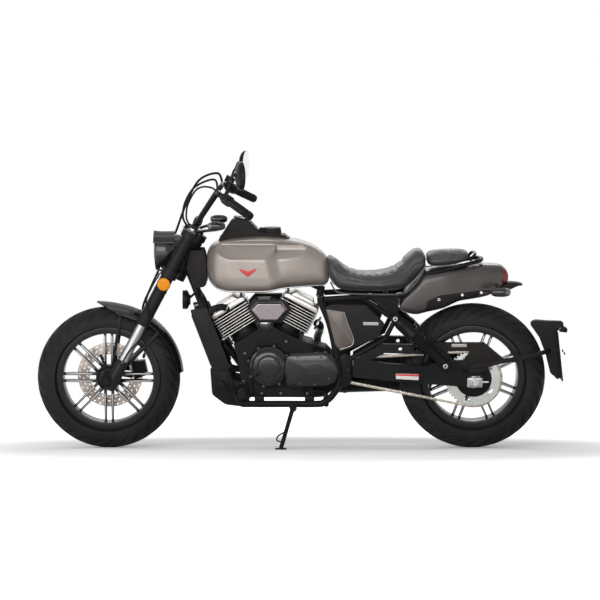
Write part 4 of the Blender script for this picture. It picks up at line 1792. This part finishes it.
OPERATORS = [
    operator("stage", "Studio", "Makes the floor, lamps, world and camera", stage_pieces),
    operator("nodes", "Construction finishes", "Dresses the construction nodes in their finishes",
             dress_nodes),
    operator("tank", "Tank", "Makes the fuel tank and the instrument", tank_pieces, console_pieces),
    operator("tail", "Tail", "Makes the cowl, lamps, rail and plate carrier", cowl_pieces, lamp_pieces,
             grab_rail_piece, rear_carrier_pieces),
    operator("covers", "Side covers", "Makes the side covers", side_cover_pieces),
    operator("wheels", "Wheels", "Makes both wheels and tyres", wheels),
    operator("drive", "Final drive", "Makes the chain and sprocket teeth", chain_piece, sprocket_pieces),
    operator("rear_end", "Rear end", "Makes the dampers and swingarm details", shock_pieces, swingarm_pieces),
    operator("engine", "Engine", "Makes the engine's covers, screws and air cleaner", engine_pieces,
             air_cleaner_pieces),
    operator("cooling", "Cooling", "Makes the radiator, panels and horn", radiator_pieces, horn_pieces),
    operator("exhaust", "Exhaust", "Makes the pipes and silencer", exhaust_pieces),
    operator("feet", "Pegs and stand", "Makes the peg rubbers and stand details", foot_pieces, stand_pieces),
    operator("bars", "Bars", "Makes the handlebar, grips, controls and mirrors", bar_pieces, mirror_pieces),
    operator("front", "Front end", "Makes the headlight, fender and fork details", headlight_pieces,
             fender_pieces, fork_pieces, indicator_pieces, cable_pieces),
    operator("frame", "Frame", "Makes the frame's bent tubes, plates and head tube", frame_pieces),
    operator("seats", "Seats", "Makes both padded seats", seat_pieces),
]


class CRUISER_PT_panel(bpy.types.Panel):
    """Sizes, colours and build buttons of the motorcycle"""

    bl_label = "Cruiser motorcycle"
    bl_space_type = "VIEW_3D"
    bl_region_type = "UI"
    bl_category = "Cruiser"

    def draw(self, context):
        for group in GROUPS:
            box = self.layout.box()
            for name in group.__annotations__:
                box.prop(getattr(context.scene, GROUPS[group]), name)
        for entry in OPERATORS:
            self.layout.operator(entry.bl_idname)


GROUPS = {CruiserColours: "cruiser_colours", CruiserSizes: "cruiser_sizes", CruiserStage: "cruiser_stage"}


def register():
    for group, name in GROUPS.items():
        bpy.utils.register_class(group)
        setattr(bpy.types.Scene, name, PointerProperty(type=group))
    for entry in (*OPERATORS, CRUISER_PT_panel):
        bpy.utils.register_class(entry)


def unregister():
    for entry in (CRUISER_PT_panel, *OPERATORS[::-1]):
        bpy.utils.unregister_class(entry)
    for group, name in GROUPS.items():
        delattr(bpy.types.Scene, name)
        bpy.utils.unregister_class(group)


def main():
    register()
    for entry in OPERATORS:
        getattr(bpy.ops.cruiser, entry.bl_idname.split(".")[1])()


if __name__ == "__main__":
    main()
